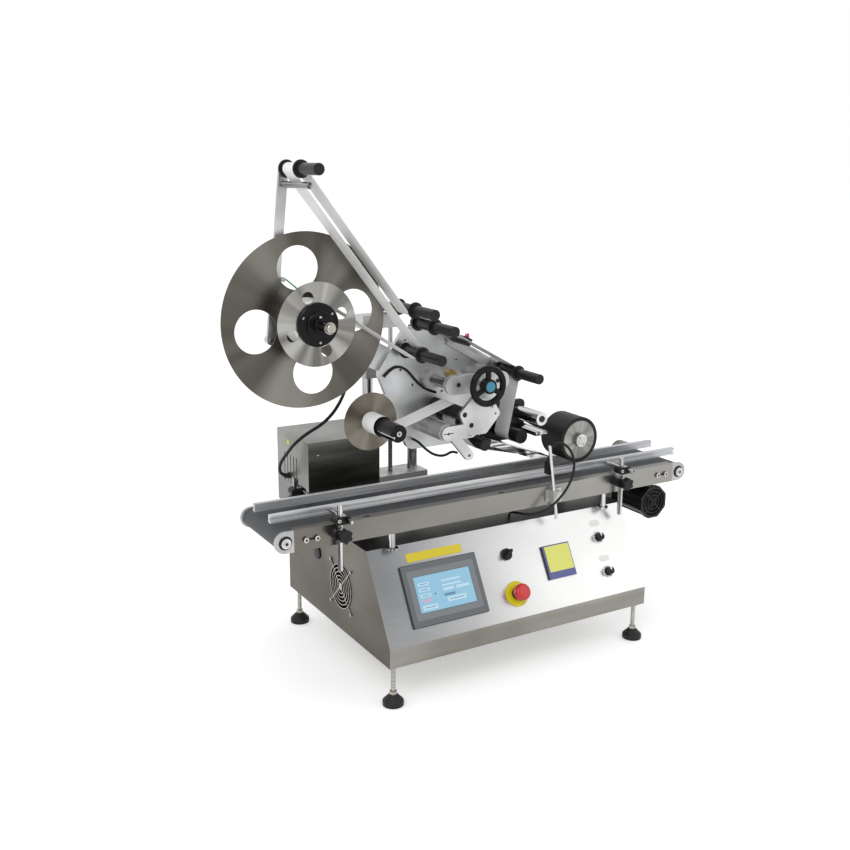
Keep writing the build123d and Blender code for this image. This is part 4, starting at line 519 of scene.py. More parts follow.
cords = {
    "sensor_cable": {"diameter": 6.0, "points": [
        (117, -207, 477), (119, -207, 503), (134, -211, 524), (156, -219, 519), (170, -229, 498), (173, -236, 470),
        (166, -239, 441), (150, -240, 414), (128, -239, 391), (104, -235, 371), (80, -223, 358), (60, -203, 352),
        (47, -180, 353), (40, -158, 350), (40, -158, 332.1)]},
    "head_harness": {"diameter": 8.0, "points": [
        (-380.1, 196, 410), (-399, 195, 413), (-411, 187, 430), (-413, 170, 455), (-408, 142, 483), (-401, 114, 512),
        (-378, 92, 540), (-340, 80, 562), (-305, 84, 590), (-270, 106, 624), (-238, 150, 652), (-208, 200, 660),
        (-179.6, 200, 660)]},
    "plate_cable": {"diameter": 6.0, "points": [
        (-246, -51.1, 690), (-230, -51.1, 706), (-208, -51.1, 712), (-186, -51.1, 702), (-170, -51.1, 684),
        (-152, -51.1, 664), (-130, -51.1, 648), (-106, -51.1, 640)]},
    "arm_cable": {"diameter": 6.0, "points": [
        (-166, -48.1, 532), (-166, -72, 532), (-162, -96, 520), (-150, -118, 508), (-134, -138, 508),
        (-120, -150, 522), (-120, -169.9, 522)]},
}


def routeSpline(name, points):
    curve = bpy.data.curves.new(name, "CURVE")
    curve.dimensions = "3D"
    curve.resolution_u = 10
    spline = curve.splines.new("NURBS")
    spline.points.add(len(points) - 1)
    for point, place in zip(spline.points, points):
        point.co = (*at(*place), 1)
    spline.order_u = 3
    spline.use_endpoint_u = True
    return placed(name, curve)


def readRoute(obj):
    line = evaluatedMesh(obj)
    route = [vert.co.copy() for vert in line.vertices]
    bpy.data.meshes.remove(line)
    return route


def tubeMesh(name, route, radius, sides=16):
    work = bmesh.new()
    rings = []
    side = None
    for i, spot in enumerate(route):
        ahead = (route[min(i + 1, len(route) - 1)] - route[max(i - 1, 0)]).normalized()
        side = side - ahead * side.dot(ahead) if side else ahead.orthogonal()
        side.normalize()
        other = ahead.cross(side)
        rings.append([
            work.verts.new(spot + (side * math.cos(angle) + other * math.sin(angle)) * radius)
            for angle in [2 * math.pi * k / sides for k in range(sides)]
        ])
    for lower, upper in zip(rings[:-1], rings[1:]):
        for k in range(sides):
            work.faces.new((lower[k], lower[(k + 1) % sides], upper[(k + 1) % sides], upper[k]))
    work.faces.new(rings[0][::-1])
    work.faces.new(rings[-1])
    bmesh.ops.recalc_face_normals(work, faces=work.faces)
    return meshFrom(work, name)


for cordName, cord in cords.items():
    piece = routeSpline(cordName + "_skin", cord["points"])
    route = readRoute(piece)
    length = sum((b - a).length for a, b in zip(route[:-1], route[1:]))
    radius = cord["diameter"] / 2000
    if cordName == "head_harness":
        bpy.data.objects.remove(piece)
        mesh = tubeMesh(cordName + "_skin", route, radius)
        mesh.materials.append(finishes["cableSkin"])
        piece = placed(cordName + "_skin", mesh)
        sharpen(mesh, 50)
        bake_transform(piece)
    else:
        piece.data.bevel_depth = radius
        piece.data.bevel_resolution = 4
        piece.data.use_fill_caps = True
        piece.data.materials.append(finishes["cableSkin"])
        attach(piece, bodyOf[cordName])
    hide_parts(cordName)
    print("cord", cordName, "length in mm", round(length * 1000, 1))

reliefs = {  # body, place, aim, cord radius, length
    "sensor_relief": ("machine", (117, -207, 476.9), upward, 3.1, 12),
    "harness_gland": ("machine", (-380, 196, 410), leftward, 4.1, 15),
    "harness_end_gland": ("lift", (-179.5, 200, 660), leftward, 4.1, 14),
}
for reliefName, (body, place, aim, cordRadius, length) in reliefs.items():
    lathed(reliefName, [
        (0, -0.2), (cordRadius + 4.2, -0.2), (cordRadius + 4.2, 2.6), (cordRadius + 3.0, 3.2),
        (cordRadius + 2.2, length * 0.45), (cordRadius + 0.5, length), (0, length)],
        at(*place), aim, "blackPlastic", body, 32)
print("cables laid")

# Frame pieces with broken edges: finish and width of the broken edge in mm.

softPieces = {
    "cabinet": ("cabinetSteel", 1.4), "levelling_feet": ("guardWire", 0.7), "touch_panel": ("bezelDark", 0.8),
    "cabinet_fittings": ("blackPlastic", 0.3), "side_fan": ("blackPlastic", 0.3),
    "standoff_posts": ("chromeUpright", 0.5), "conveyor_frame": ("conveyorSteel", 0.7),
    "conveyor_end_plates": ("castAluminium", 0.8), "gear_motor": ("blackPlastic", 0.7),
    "drive_housing": ("slabSteel", 0.8), "rail_brackets": ("blackPlastic", 0.8),
    "driver_box": ("driverSteel", 1.0), "lift_columns": ("whiteAluminium", 0.8),
    "sensor_bracket": ("chromePlate", 0.5), "estop_button": ("stopRed", 0.3),
    "selector_knob": ("blackPlastic", 0.5), "speed_dial_upper": ("blackPlastic", 0.4),
    "speed_dial_lower": ("blackPlastic", 0.4), "fan_rotor": ("blackPlastic", 0.3),
    "drive_roller": ("castAluminium", 0.6), "idle_roller": ("castAluminium", 0.6),
    "motor_pulley": ("castAluminium", 0.4), "front_guide_rail": ("railAluminium", 0.5),
    "back_guide_rail": ("railAluminium", 0.5), "rail_knob_front_left": ("blackPlastic", 1.2),
    "rail_knob_front_right": ("blackPlastic", 1.2), "rail_knob_back_left": ("blackPlastic", 1.2),
    "rail_knob_back_right": ("blackPlastic", 1.2), "lift_screw": ("blackPlastic", 1.0),
    "lift_carriage": ("castAluminium", 1.2), "cross_frame": ("chromeAcross", 0.8),
    "cross_handwheel": ("blackGloss", 0.5), "main_plate": ("plateAluminium", 0.8),
    "side_plate": ("whiteAluminium", 0.8), "head_fixings": ("whiteAluminium", 0.5),
    "traction_motor": ("blackPlastic", 0.8), "reel_arm": ("whiteAluminium", 0.8),
    "nose_plate": ("blackScrew", 0.8), "peel_plate": ("chromeAlong", 0.3),
    "dancer_arm": ("whiteAluminium", 0.8), "top_guide_roller": ("blackAnodised", 0.8),
    "lower_guide_roller": ("blackAnodised", 0.8), "first_guide_roller": ("blackAnodised", 0.8),
    "second_guide_roller": ("blackAnodised", 0.8), "fourth_guide_roller": ("blackAnodised", 0.8),
    "hold_down_roller": ("blackGloss", 0.8), "liner_roller": ("blackAnodised", 0.8),
    "traction_roller": ("tyreRubber", 0.6), "pinch_roller": ("tyreRubber", 0.6),
    "rewind_mandrel": ("blackGloss", 0.4), "press_arm": ("chromePlate", 0.8),
    "press_roller": ("tyreRubber", 1.5), "conveyor_belt": ("beltFabric", 0.3),
}
dressed = {}
for nodeName, (finishName, edgeWidth) in softPieces.items():
    dressed[nodeName] = softened(nodeName, finishName, edgeWidth)
print("softened pieces:", len(dressed))

slope = math.atan2(192, 111)  # lean of the slanted front


def panelUpOf(y, z):
    return (y + 298) * math.cos(slope) + (z - 140) * math.sin(slope)


def panelOutOf(y, z):
    return -(y + 298) * math.sin(slope) + (z - 140) * math.cos(slope)


def near(x, z, cx, cz, radius):
    return math.hypot(x - cx, z - cz) < radius


def disc(x0, z0, radius, low=-1000, high=1000):
    # What lies within the radius of an axis along the machine's depth, from low to high.
    return lambda x, y, z, n: low < y < high and near(x, z, x0, z0, radius)


knobRule = [("zincScrew", lambda x, y, z, n: -238.5 < y < 22.5)]
postPlaces = [(-445, -223), (333, -223), (-445, 7), (333, 7)]
paintRules = {
    "cabinet": [
        # The cabinet's faces take lit and shaded copies of its steel by the way they face: painted light and shade.
        ("shadedSideSteel", lambda x, y, z, n: abs(n.x) > 0.8),
        ("litPanelSteel", lambda x, y, z, n: n.y < -0.7 and n.z > 0.3),
        ("shadedBandSteel", lambda x, y, z, n: n.y < -0.9 and z < 141)],
    "levelling_feet": [("footRubber", lambda x, y, z, n: z < 25.5)],
    # The front face takes the darker copy, painted shade.
    "driver_box": [("shadedDriverFront", lambda x, y, z, n: n.y < -0.8 and y < 82)],
    "lift_columns": [
        ("chromeUpright", lambda x, y, z, n: 380.5 < z < 763.5),
        ("castAluminium", lambda x, y, z, n: z < 380.5
            and not near(x, y, -158, 200, 13.6) and not near(x, y, -25, 200, 13.6))],
    "cross_handwheel": [
        ("tealCap", disc(-65, 680, 12.2, high=-220.2)),
        ("chromeAcross", disc(-65, 680, 6, low=-199.5))],
    "cross_frame": [("castAluminium", lambda x, y, z, n: y < -155.5)],
    "main_plate": [
        ("brassNut", disc(-65, 680, 12.5, high=-48.5)),
        ("castAluminium", lambda x, y, z, n: y < -50.5 and not near(x, z, -65, 680, 13)),
        ("whiteAluminium", lambda x, y, z, n: -50.5 < y < -47.9 and x > 40 and z > 660 and n.y < -0.5 and y < -49)],
    "head_fixings": [
        ("castAluminium", disc(-149, 572, 21)),
        ("blackPlastic", lambda x, y, z, n: abs(x + 60) < 24 and abs(z - 772) < 24 and y < -54.5),
        ("chromeAcross", disc(-38, 528, 8.5))],
    "rewind_mandrel": [
        ("rewindSteel", lambda x, y, z, n: y > -77.6),
        ("paperWeb", lambda x, y, z, n: -134.5 < y < -77.9
            and not near(x, z, -294, 596, 20.2) and near(x, z, -294, 596, 24)),
        ("chromeAcross", disc(-309.5, 590.4, 2.9))],
    "press_roller": [("wheelSteel", lambda x, y, z, n: near(x, z, 248, 504, 47.9) and abs(y + 158) > 0.5)],
    "press_arm": [("chromeAcross", lambda x, y, z, n: near(x, z, 125, 572, 16.5) and abs(n.y) < 0.5)],
    "touch_panel": [
        ("bezelGrey", lambda x, y, z, n: panelOutOf(y, z) > 5.5 and n.y < -0.8 and n.z > 0.4)],
    "lift_screw": [("chromeUpright", lambda x, y, z, n: z < 805.5)],
    "side_fan": [("guardWire", lambda x, y, z, n: x < -365.05)],
    "rail_brackets": [("chromeUpright", lambda x, y, z, n: any(near(x, y, px, py, 6.2) for px, py in postPlaces))],
    "sensor_bracket": [
        ("blackPlastic", lambda x, y, z, n: 110.9 < x < 123.2 and y > -216.1 and z > 446),
        ("castAluminium", lambda x, y, z, n: z < 409 and z > 378 and x > 109)],
    "cabinet_fittings": [
        ("stopYellow", lambda x, y, z, n: math.hypot(x + 11, panelUpOf(y, z) - 56) < 31
            and -0.1 < panelOutOf(y, z) < 3.3),
        ("blankWhite", lambda x, y, z, n: abs(x - 266) < 15.5 and z > 150 and -0.1 < panelOutOf(y, z) < 1.4)],
    "reel_arm": [
        ("chromeAcross", disc(-451, 836, 10.3, high=-49.5)),
        ("guardWire", disc(-451, 836, 10.3, high=-207)),
        ("zincScrew", disc(-521, 795, 9.2, high=-43))],
    "dancer_arm": [("guideGrey", disc(-490, 1121, 9, -190, -56.5))],
    "front_guide_rail": [("chromeAcross", lambda x, y, z, n: y < -154.2)],
    "back_guide_rail": [("chromeAcross", lambda x, y, z, n: y > -53.8)],
    "gear_motor": [("castAluminium", lambda x, y, z, n: y > -74.5)],
    "nose_plate": [
        ("chromeAcross", lambda x, y, z, n: y < -58.5 and z < 545 and x > 90),
        ("chromeAcross", disc(65, 536, 8.5, high=-58.5))],
    "drive_roller": [("chromePlate", lambda x, y, z, n: y < -207.9)],
    "idle_roller": [("chromePlate", lambda x, y, z, n: y < -207.9)],
    "conveyor_end_plates": [("chromePlate", lambda x, y, z, n: y < -208.2 or y > -7.8)],
    "rail_knob_front_left": knobRule, "rail_knob_front_right": knobRule,
    "rail_knob_back_left": knobRule, "rail_knob_back_right": knobRule,
}
for nodeName, rules in paintRules.items():
    paint(dressed[nodeName], rules)
print("finishes painted")


# Small repeated pieces, made with geometry nodes.

def newTree(name, sockets):
    tree = bpy.data.node_groups.new(name, "GeometryNodeTree")
    tree.interface.new_socket("Geometry", in_out="INPUT", socket_type="NodeSocketGeometry")
    identifiers = {}
    for label, kind in sockets:
        identifiers[label] = tree.interface.new_socket(label, in_out="INPUT", socket_type=kind).identifier
    tree.interface.new_socket("Geometry", in_out="OUTPUT", socket_type="NodeSocketGeometry")
    return tree, identifiers, tree.nodes.new("NodeGroupInput").outputs


def liftNode(tree, geometry, height):
    shift = wired(tree, "ShaderNodeCombineXYZ", {"Z": height})
    move = wired(tree, "GeometryNodeTransform", {"Geometry": geometry, "Translation": shift.outputs[0]})
    return move.outputs["Geometry"]


def aimed(tree, geometry, given):
    # Puts the shape on every point, its own Z along the point's aim.
    aim = wired(tree, "GeometryNodeInputNamedAttribute", {"Name": "aim"}, data_type="FLOAT_VECTOR")
    turn = wired(tree, "FunctionNodeAlignRotationToVector", {"Vector": aim.outputs["Attribute"]}, axis="Z")
    spots = wired(tree, "GeometryNodeInstanceOnPoints", {
        "Points": given["Geometry"], "Instance": geometry, "Rotation": turn.outputs["Rotation"]})
    return spots, turn


def endTree(tree, spots, finish, secondFinish=None, attribute=None):
    real = wired(tree, "GeometryNodeRealizeInstances", {"Geometry": spots.outputs["Instances"]})
    last = wired(tree, "GeometryNodeSetMaterial", {"Geometry": real.outputs["Geometry"], "Material": finish})
    if secondFinish is not None:
        chosen = wired(tree, "GeometryNodeInputNamedAttribute", {"Name": attribute}, data_type="BOOLEAN")
        last = wired(tree, "GeometryNodeSetMaterial", {
            "Geometry": last.outputs["Geometry"], "Selection": chosen.outputs["Attribute"],
            "Material": secondFinish})
    wired(tree, "NodeGroupOutput", {"Geometry": last.outputs["Geometry"]})


def headTree():
    # A chamfered head with a socket or a stud's end on every point: screws, nuts and bolts. The socket is a thin disc
    # laid on the head; a black one is painted shade for a hollow socket.
    tree, identifiers, given = newTree("screwHeads", [
        ("Head Radius", "NodeSocketFloat"), ("Head Height", "NodeSocketFloat"), ("Socket Share", "NodeSocketFloat"),
        ("Head Sides", "NodeSocketInt"), ("Socket Sides", "NodeSocketInt"),
        ("Head Finish", "NodeSocketMaterial"), ("Socket Finish", "NodeSocketMaterial")])
    radius, height, sides = given["Head Radius"], given["Head Height"], given["Head Sides"]

    def times(value, share):
        return mathNode(tree, "MULTIPLY", value, share)

    body = wired(tree, "GeometryNodeMeshCylinder", {
        "Vertices": sides, "Radius": radius, "Depth": times(height, 0.82)})
    rim = wired(tree, "GeometryNodeMeshCone", {
        "Vertices": sides, "Radius Bottom": radius, "Radius Top": times(radius, 0.86), "Depth": times(height, 0.18)})
    socket = wired(tree, "GeometryNodeMeshCylinder", {
        "Vertices": given["Socket Sides"], "Radius": times(radius, given["Socket Share"]),
        "Depth": times(height, 0.06)})
    mark = wired(tree, "GeometryNodeStoreNamedAttribute", {
        "Geometry": liftNode(tree, socket.outputs["Mesh"], times(height, 0.99)), "Name": "isSocket", "Value": True},
        data_type="BOOLEAN", domain="FACE")
    bodyUp = liftNode(tree, body.outputs["Mesh"], times(height, 0.41))
    rimUp = liftNode(tree, rim.outputs["Mesh"], times(height, 0.82))
    join = wired(tree, "GeometryNodeJoinGeometry")
    for part in (bodyUp, rimUp, mark.outputs["Geometry"]):
        tree.links.new(part, join.inputs["Geometry"])
    spots, turn = aimed(tree, join.outputs["Geometry"], given)
    endTree(tree, spots, given["Head Finish"], given["Socket Finish"], "isSocket")
    return tree, identifiers


def threadTree():
    # A fine ridge wound round every point along its aim.
    tree, identifiers, given = newTree("screwThreads", [
        ("Rod Radius", "NodeSocketFloat"), ("Rod Length", "NodeSocketFloat"), ("Turns", "NodeSocketFloat"),
        ("Ridge Radius", "NodeSocketFloat"), ("Finish", "NodeSocketMaterial")])
    spiral = wired(tree, "GeometryNodeCurveSpiral", {
        "Resolution": 14, "Rotations": given["Turns"], "Start Radius": given["Rod Radius"],
        "End Radius": given["Rod Radius"], "Height": given["Rod Length"]})
    ridge = wired(tree, "GeometryNodeCurvePrimitiveCircle", {"Resolution": 4, "Radius": given["Ridge Radius"]})
    skin = wired(tree, "GeometryNodeCurveToMesh", {
        "Curve": spiral.outputs["Curve"], "Profile Curve": ridge.outputs["Curve"], "Fill Caps": True})
    spots, turn = aimed(tree, skin.outputs["Mesh"], given)
    endTree(tree, spots, given["Finish"])
    return tree, identifiers


def barTree():
    # A small bar on every point, lying on the surface that the aim leaves, its length along the side.
    tree, identifiers, given = newTree("smallBars", [
        ("Bar Size", "NodeSocketVector"), ("Finish", "NodeSocketMaterial")])
    bar = wired(tree, "GeometryNodeMeshCube", {"Size": given["Bar Size"]})
    spots, turn = aimed(tree, bar.outputs["Mesh"], given)
    side = wired(tree, "GeometryNodeInputNamedAttribute", {"Name": "side"}, data_type="FLOAT_VECTOR")
    second = wired(tree, "FunctionNodeAlignRotationToVector", {
        "Rotation": turn.outputs["Rotation"], "Vector": side.outputs["Attribute"]}, axis="X", pivot_axis="Z")
    connect(tree, spots, {"Rotation": second.outputs["Rotation"]})
    endTree(tree, spots, given["Finish"])
    return tree, identifiers


trees = {"heads": headTree(), "threads": threadTree(), "bars": barTree()}
print("geometry trees built")


def repeated(name, treeName, spots, body, values):
    # Spots are (place, aim) or (place, aim, side), with the places in metres.
    tree, identifiers = trees[treeName]
    mesh = bpy.data.meshes.new(name)
    mesh.from_pydata([tuple(spot[0]) for spot in spots], [], [])
    for index, label in ((1, "aim"), (2, "side")):
        if len(spots[0]) > index:
            attribute = mesh.attributes.new(label, "FLOAT_VECTOR", "POINT")
            for item, spot in zip(attribute.data, spots):
                item.vector = spot[index]
    obj = placed(name, mesh)
    modifier = obj.modifiers.new("pattern", "NODES")
    modifier.node_group = tree
    for label, value in values.items():
        modifier[identifiers[label]] = value
    obj.update_tag()
    bpy.context.view_layer.update()
    applyModifiers(obj)
    for label in ("aim", "side", "isSocket"):
        if label in obj.data.attributes:
            obj.data.attributes.remove(obj.data.attributes[label])
    sharpen(obj.data, 35)
    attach(obj, body)
    return obj


# The default black socket disc is painted shade for the hollow of a socket screw.
def heads(name, spots, body, radius=3.0, height=3.0, finish="zincScrew", share=0.5, sides=24, socketSides=6,
          socketFinish="blackPlastic"):
    return repeated(name, "heads", spots, body, {
        "Head Radius": radius / 1000, "Head Height": height / 1000, "Socket Share": share,
        "Head Sides": sides, "Socket Sides": socketSides,
        "Head Finish": finishes[finish], "Socket Finish": finishes[socketFinish]})


def screws(name, body, aim, places, radius, height, share=0.5, finish="zincScrew"):
    return heads(name, [(at(*place), aim) for place in places], body, radius, height, finish, share)


def threads(name, spots, body, radius, length, pitch, finish, ridge=0.55):
    return repeated(name, "threads", spots, body, {
        "Rod Radius": radius / 1000, "Rod Length": length / 1000, "Turns": float(round(length / pitch)),
        "Ridge Radius": ridge / 1000, "Finish": finishes[finish]})


# Slanted panel: screen, blank plates and dial marks.

panelUp = Vector((0, math.cos(slope), math.sin(slope)))
panelOut = Vector((0, -math.sin(slope), math.cos(slope)))


def panelMatrix(x, up, out=0.0):
    place = at(x, -298, 140) + panelUp * up / 1000 + panelOut * out / 1000
    turn = Matrix((Vector((1, 0, 0)), panelUp, panelOut)).transposed().to_4x4()
    return Matrix.Translation(place) @ turn


def roundedLoop(width, height, corner):
    if corner <= 0:
        return [(width / 2, height / 2), (-width / 2, height / 2), (-width / 2, -height / 2), (width / 2, -height / 2)]
    loop = []
    for cx, cy, start in ((1, 1, 0), (-1, 1, 90), (-1, -1, 180), (1, -1, 270)):
        for step in range(9):
            angle = math.radians(start + step * 90 / 8)
            loop.append((cx * (width / 2 - corner) + corner * math.cos(angle),
                         cy * (height / 2 - corner) + corner * math.sin(angle)))
    return loop


def panelSlab(name, x, up, out, size, finish, bevel=0.2, corner=0.0, body="machine", hole=None):
    width, height, thick = size
    loops = [roundedLoop(width, height, corner)]
    if hole:
        loops.append(roundedLoop(*hole)[::-1])
    return sheetFromCurves(name, loops, thick, panelMatrix(x, up, out + thick / 2), finish, body, bevel)


screen = {"x": -197.0, "up": 102.0, "width": 147.6, "height": 81.6, "out": 5.6}
panelSlab("screen_picture", screen["x"], screen["up"], screen["out"], (screen["width"], screen["height"], 0.3),
          "screenBlue", 0.05)
panelSlab("screen_frame", screen["x"], screen["up"], 6.0, (176, 112, 0.5), "bezelPale", 0.15, 3.0,
          hole=(149, 83, 1.0))
shapes = [  # left share, low share, width share, height share, finish
    (0.05, 0.73, 0.19, 0.09, "screenPale"), (0.05, 0.57, 0.19, 0.09, "screenPale"),
    (0.05, 0.41, 0.19, 0.09, "screenPale"), (0.07, 0.28, 0.15, 0.07, "screenPink"),
    (0.05, 0.06, 0.26, 0.13, "screenPale"), (0.30, 0.42, 0.03, 0.06, "screenDeep"),
    (0.46, 0.74, 0.34, 0.05, "screenPale"), (0.46, 0.61, 0.34, 0.05, "screenPale"),
    (0.46, 0.48, 0.20, 0.08, "screenPale"), (0.70, 0.48, 0.24, 0.08, "screenPale"),
    (0.50, 0.16, 0.34, 0.13, "screenPale"), (0.46, 0.33, 0.20, 0.07, "screenDeep"),
    (0.08, 0.765, 0.13, 0.02, "screenDeep"), (0.08, 0.605, 0.13, 0.02, "screenDeep"),
    (0.08, 0.445, 0.13, 0.02, "screenDeep"), (0.08, 0.115, 0.20, 0.02, "screenDeep"),
    (0.54, 0.215, 0.26, 0.02, "screenDeep"),
]
for number, (left, low, wide, tall, finish) in enumerate(shapes):
    x = screen["x"] + (left + wide / 2 - 0.5) * screen["width"]
    up = screen["up"] + (low + tall / 2 - 0.5) * screen["height"]
    height = 0.06 if finish != "screenDeep" else 0.1
    size = (wide * screen["width"], tall * screen["height"], height)
    panelSlab(f"screen_shape_{number}", x, up, screen["out"] + 0.3, size, finish, 0.02, min(1.5, tall * 35))
panelSlab("strip_blank", -199, 188.5, 0.0, (146, 20, 0.5), "stripYellow", 0.1, 1.0)
panelSlab("maker_plate_body", 129, 110, 0.0, (80, 82, 5.6), "blackPlastic", 0.3, 1.0)
panelSlab("maker_plate_blank", 129, 110, 5.6, (80, 82, 0.5), "plateBlue", 0.15, 1.0)
panelSlab("maker_plate_field", 131, 117, 6.1, (72, 62, 0.15), "plateYellow", 0.05, 0.5)
for number, up in enumerate((181.4, 91.8)):
    panelSlab(f"dial_label_blank_{number}", 266.5, up, 0.0, (31, 15, 0.4), "blankWhite", 0.1, 7.4)
dials = {"speed_dial_upper": 145, "speed_dial_lower": 58}
tickSpots = []
for nodeName, up in dials.items():
    place = panelMatrix(266, up, 1.25)
    for step in range(11):
        angle = math.radians(240 - step * 30)
        spoke = Vector((math.cos(angle), math.sin(angle), 0))
        tickSpots.append((place @ (spoke * 0.0131), place.to_3x3() @ Vector((0, 0, 1)), place.to_3x3() @ spoke))
    panelSlab(nodeName + "_pointer", 266, up + 5.2, 16.45, (4.2, 6.8, 0.35), "blankWhite", 0.1, 0.6,
              bodyOf[nodeName])
repeated("dial_ticks", "bars", tickSpots, "machine", {
    "Bar Size": (0.0033, 0.0015, 0.0002), "Finish": finishes["blackPlastic"]})
print("panel dressed")

# Reel: two turned discs, the hub, the roll and the brake drum.

reelSizes = {"back": -76.0, "front": -136.0, "backRadius": 189.8, "frontRadius": 89.8}


def ringHoles(count, ring, radius, first):
    angles = [math.radians(first + 360 / count * i) for i in range(count)]
    return [circlePoints(ring * math.cos(a), ring * math.sin(a), radius, 72)[::-1] for a in angles]


backDisc = sheetFromCurves(
    "reel_back_disc", [circlePoints(0, 0, reelSizes["backRadius"], 200), circlePoints(0, 0, 14, 40)[::-1],
                       *ringHoles(4, 115, 47, 8)],
    2.0, uprightPlane(reelAt["x"], reelSizes["back"], reelAt["z"]), "darkReflectionReelSteel", "reel", 0.35)
sheetFromCurves(
    "reel_front_disc", [circlePoints(0, 0, reelSizes["frontRadius"], 140), circlePoints(0, 0, 14, 40)[::-1],
                        *ringHoles(4, 60, 13, 20)],
    2.0, uprightPlane(reelAt["x"], reelSizes["front"], reelAt["z"]), "flangeSteel", "reel", 0.35)
hubProfile = [(10.05, -2.5), (16, -2.5), (17, -3.5), (17, -11), (28, -11.5), (30, -13), (30, -20), (32, -21),
              (44, -21.5), (46.6, -23.5), (46.6, -29.6), (10.05, -29.6), (10.05, -2.5)]
lathed("reel_hub", [(r, -h) for r, h in hubProfile], at(reelAt["x"], -165.5, reelAt["z"]), rear, "blackGloss",
       "reel", 80)
lathed("reel_label_roll", [(12, 0), (50.6, 0), (51, 0.4), (51, 55.6), (50.6, 56), (12, 56), (12, 0)],
       at(reelAt["x"], -134, reelAt["z"]), rear, "labelPaper", "reel", 96)
drumProfile = [(12, 0), (44.5, 0), (45, 0.5), (45, 3.9), (42, 4.2), (42, 7.8), (45, 8.1), (45, 11.5), (44.5, 12),
               (12, 12), (12, 0)]
lathed("reel_brake_drum", drumProfile, at(reelAt["x"], -75, reelAt["z"]), rear, "blackAnodised", "reel", 80)
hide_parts("label_reel")


def roundSpots(x, y, z, ring, count, first, aim):
    angles = [math.radians(first + 360 / count * k) for k in range(count)]
    return [(at(x + ring * math.cos(a), y, z + ring * math.sin(a)), aim) for a in angles]


heads("reel_hub_screws", roundSpots(reelAt["x"], -144.0, reelAt["z"], 38, 3, 35, front), "reel", 2.4, 1.2)
screws("reel_hub_clamp", "reel", upward, [(reelAt["x"] - 2, -158, reelAt["z"] + 16.6)], 3.2, 4.0, 0.45)
print("reel made")

# Fasteners and small fittings of the machine.

endBolts = {"idle": -564.5, "drive": 540.5}
for body, x in endBolts.items():
    screws(body + "_axle_bolt", body, front, [(x, -214.0, 393.75)], 7.0, 1.6, 0.55)
    # A thin black ring on each end plate, painted shade for the recess round the axle bolt.
    lathed(body + "_recess_shade_ring", [(11.3, 0), (15.2, 0), (15.2, 0.35), (11.3, 0.35), (11.3, 0)],
           at(x, -208.0, 393.75), front, "blackPlastic", "machine", 48)
tension = [(-518.5, -1), (-492.5, -1), (468.5, -1), (494.5, -1), (-518.5, 1), (-492.5, 1), (468.5, 1), (494.5, 1)]
tensionSpots = [(at(x, -210.5 if side < 0 else -5.5, 393.75), front if side < 0 else rear) for x, side in tension]
heads("tension_screws", tensionSpots, "machine", 6.2, 3.4, "zincScrew", 0.5)
for number, x in enumerate((-505.5, 481.5)):
    # Thin black sheets on the end plates, painted shade for the tension slots.
    sheetFromCurves(f"tension_slot_shade_{number}", [roundedLoop(34, 5, 2.4)], 0.5, uprightPlane(x, -208.2, 393.75),
                    "blackPlastic", "machine", 0.1)
clampSpots = [(at(x, -234, 431), front) for x in (-452, 326)] + [(at(x, 18, 431), rear) for x in (-452, 326)]
heads("clamp_screws", clampSpots, "machine", 4.2, 2.6, "zincScrew", 0.5)
plateScrews = [(-169.8, 663.4), (-87.1, 640.7), (-49.1, 714.8), (-202.1, 701.9), (-80.7, 762.9), (-189.2, 771.1)]
screws("plate_screws", "head", front, [(x, -48, z) for x, z in plateScrews], 4.4, 0.8, 0.6)
screws("cross_bar_screws", "lift", front, [(-118.5, -170, 680.5), (-11.5, -170, 680.5)], 5.2, 1.0, 0.5, "blackScrew")
screws("nose_screws", "head", front, [(36, -58, 588), (112, -58, 588), (36, -58, 512), (138, -58, 560)], 4.2, 2.4)
screws("side_plate_nuts", "head", front, [(-33, -180, 623), (-92, -180, 562)], 4.4, 2.2)
screws("fan_screws", "machine", leftward,
       [(-367.2, -60 + 52.5 * i, 204 + 52.5 * j) for i in (-1, 1) for j in (-1, 1)], 3.6, 1.3, 0.45)
screws("driver_front_screw", "machine", front, [(-354.4, 80, 484.6)], 3.4, 1.6)
screws("driver_back_screws", "machine", rear, [(x, 268, z) for x in (-368, -199) for z in (345, 505)], 3.4, 1.6)
screws("cover_screws", "machine", rear, [(452, 27, 315), (500, 27, 300), (565, 27, 394), (517, 27, 409)], 3.4, 1.8)
screws("carriage_screws", "lift", rear, [(x, 232, z) for x in (-170, 12) for z in (650, 690)], 4.0, 2.4)
screws("motor_screws", "head", rear, [(-88 + 34 * i, 14, 585 + 34 * j) for i in (-1, 1) for j in (-1, 1)], 3.6, 2.0)
screws("mandrel_screw", "rewind", front, [(-294, -208, 596)], 6.0, 2.4)
heads("press_nut", [(at(248, -166, 504), front)], "press_wheel", 12.0, 4.5, "zincScrew", 0.66, 6, 32, "zincScrew")
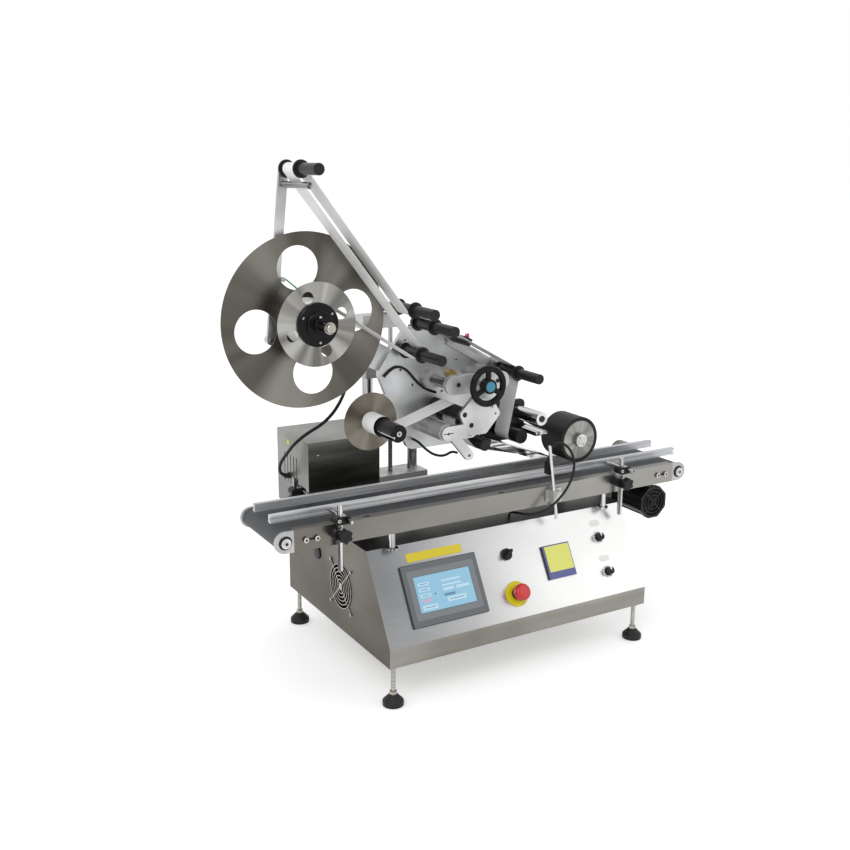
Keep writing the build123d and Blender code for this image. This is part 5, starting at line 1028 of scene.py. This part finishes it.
lathed("press_washer", [(8.1, 0), (15.2, 0), (15.6, 0.6), (15.6, 1.4), (8.1, 1.4), (8.1, 0)],
       at(248, -166, 504), front, "chromePlate", "press_wheel", 48)
lathed("spindle_ring", [(10.05, 0), (12.4, 0), (12.8, 0.6), (12.8, 4.4), (12.4, 5), (10.05, 5), (10.05, 0)],
       at(reelAt["x"], -195, reelAt["z"]), front, "guardWire", "head", 48)
for number, x in enumerate((-347, 347)):
    for turn, y in enumerate((-280, 224)):
        stud = [(at(x, y, 33.5), upward)]
        threads(f"foot_thread_{number}{turn}", stud, "machine", 5.0, 53, 2.0, "zincScrew", 0.5)
threads("lift_thread", [(at(-91.5, 200, 382), upward)], "lift_spindle", 5.75, 380, 4.0, "zincScrew", 0.6)
threads("cross_thread", [(at(-65, -155, 680), rear)], "cross_wheel", 4.75, 66, 3.0, "zincScrew", 0.6)
boxed("driver_sticker", (-380.4, 192.5, 489), (-379.9, 206.5, 501), "stripYellow", "machine", 0.1)
lathed("side_grommet", [(0, 0), (17, 0), (18, 0.8), (18, 2.2), (15, 3.2), (0, 3.2)], at(-365.2, 69, 247), leftward,
       "blackPlastic", "machine", 40)
lathed("sensor_lens", [(0, 0), (4.2, 0), (4.2, 0.6), (3.2, 1.3), (0, 1.7)], at(117, -198, 462), rear,
       "redLens", "machine", 32)
fittingProfile = [(0, 0), (3.2, 0), (3.4, 0.5), (3.4, 4.5), (5.2, 5), (5.4, 5.6), (5.4, 11), (4.8, 11.6),
                  (2.6, 12), (2.6, 15), (0, 15)]
lathed("air_fitting", fittingProfile, at(-57, -100, 771.0), Vector((0.53, 0, 0.85)), "pinkFitting", "head", 32)
print("fasteners set")

# Label web and brake belt, softened and freed from any body.

followers = {  # finish, name, start and end of a stretch; the start and end are not used
    "label_web": ("paperWeb", "label_web_paper", (-330, -106, 930), (-455, -106, 1120)),
    "brake_belt": ("greenBelt", "brake_belt_cord", (-440, -69, 870), (-490, -69, 924)),
}
for nodeName, (finishName, pieceName, start, end) in followers.items():
    piece = softened(nodeName, finishName, 0.0, name=pieceName)
    piece.parent = None
    del piece["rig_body"]
    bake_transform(piece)
print("web and brake belt set")
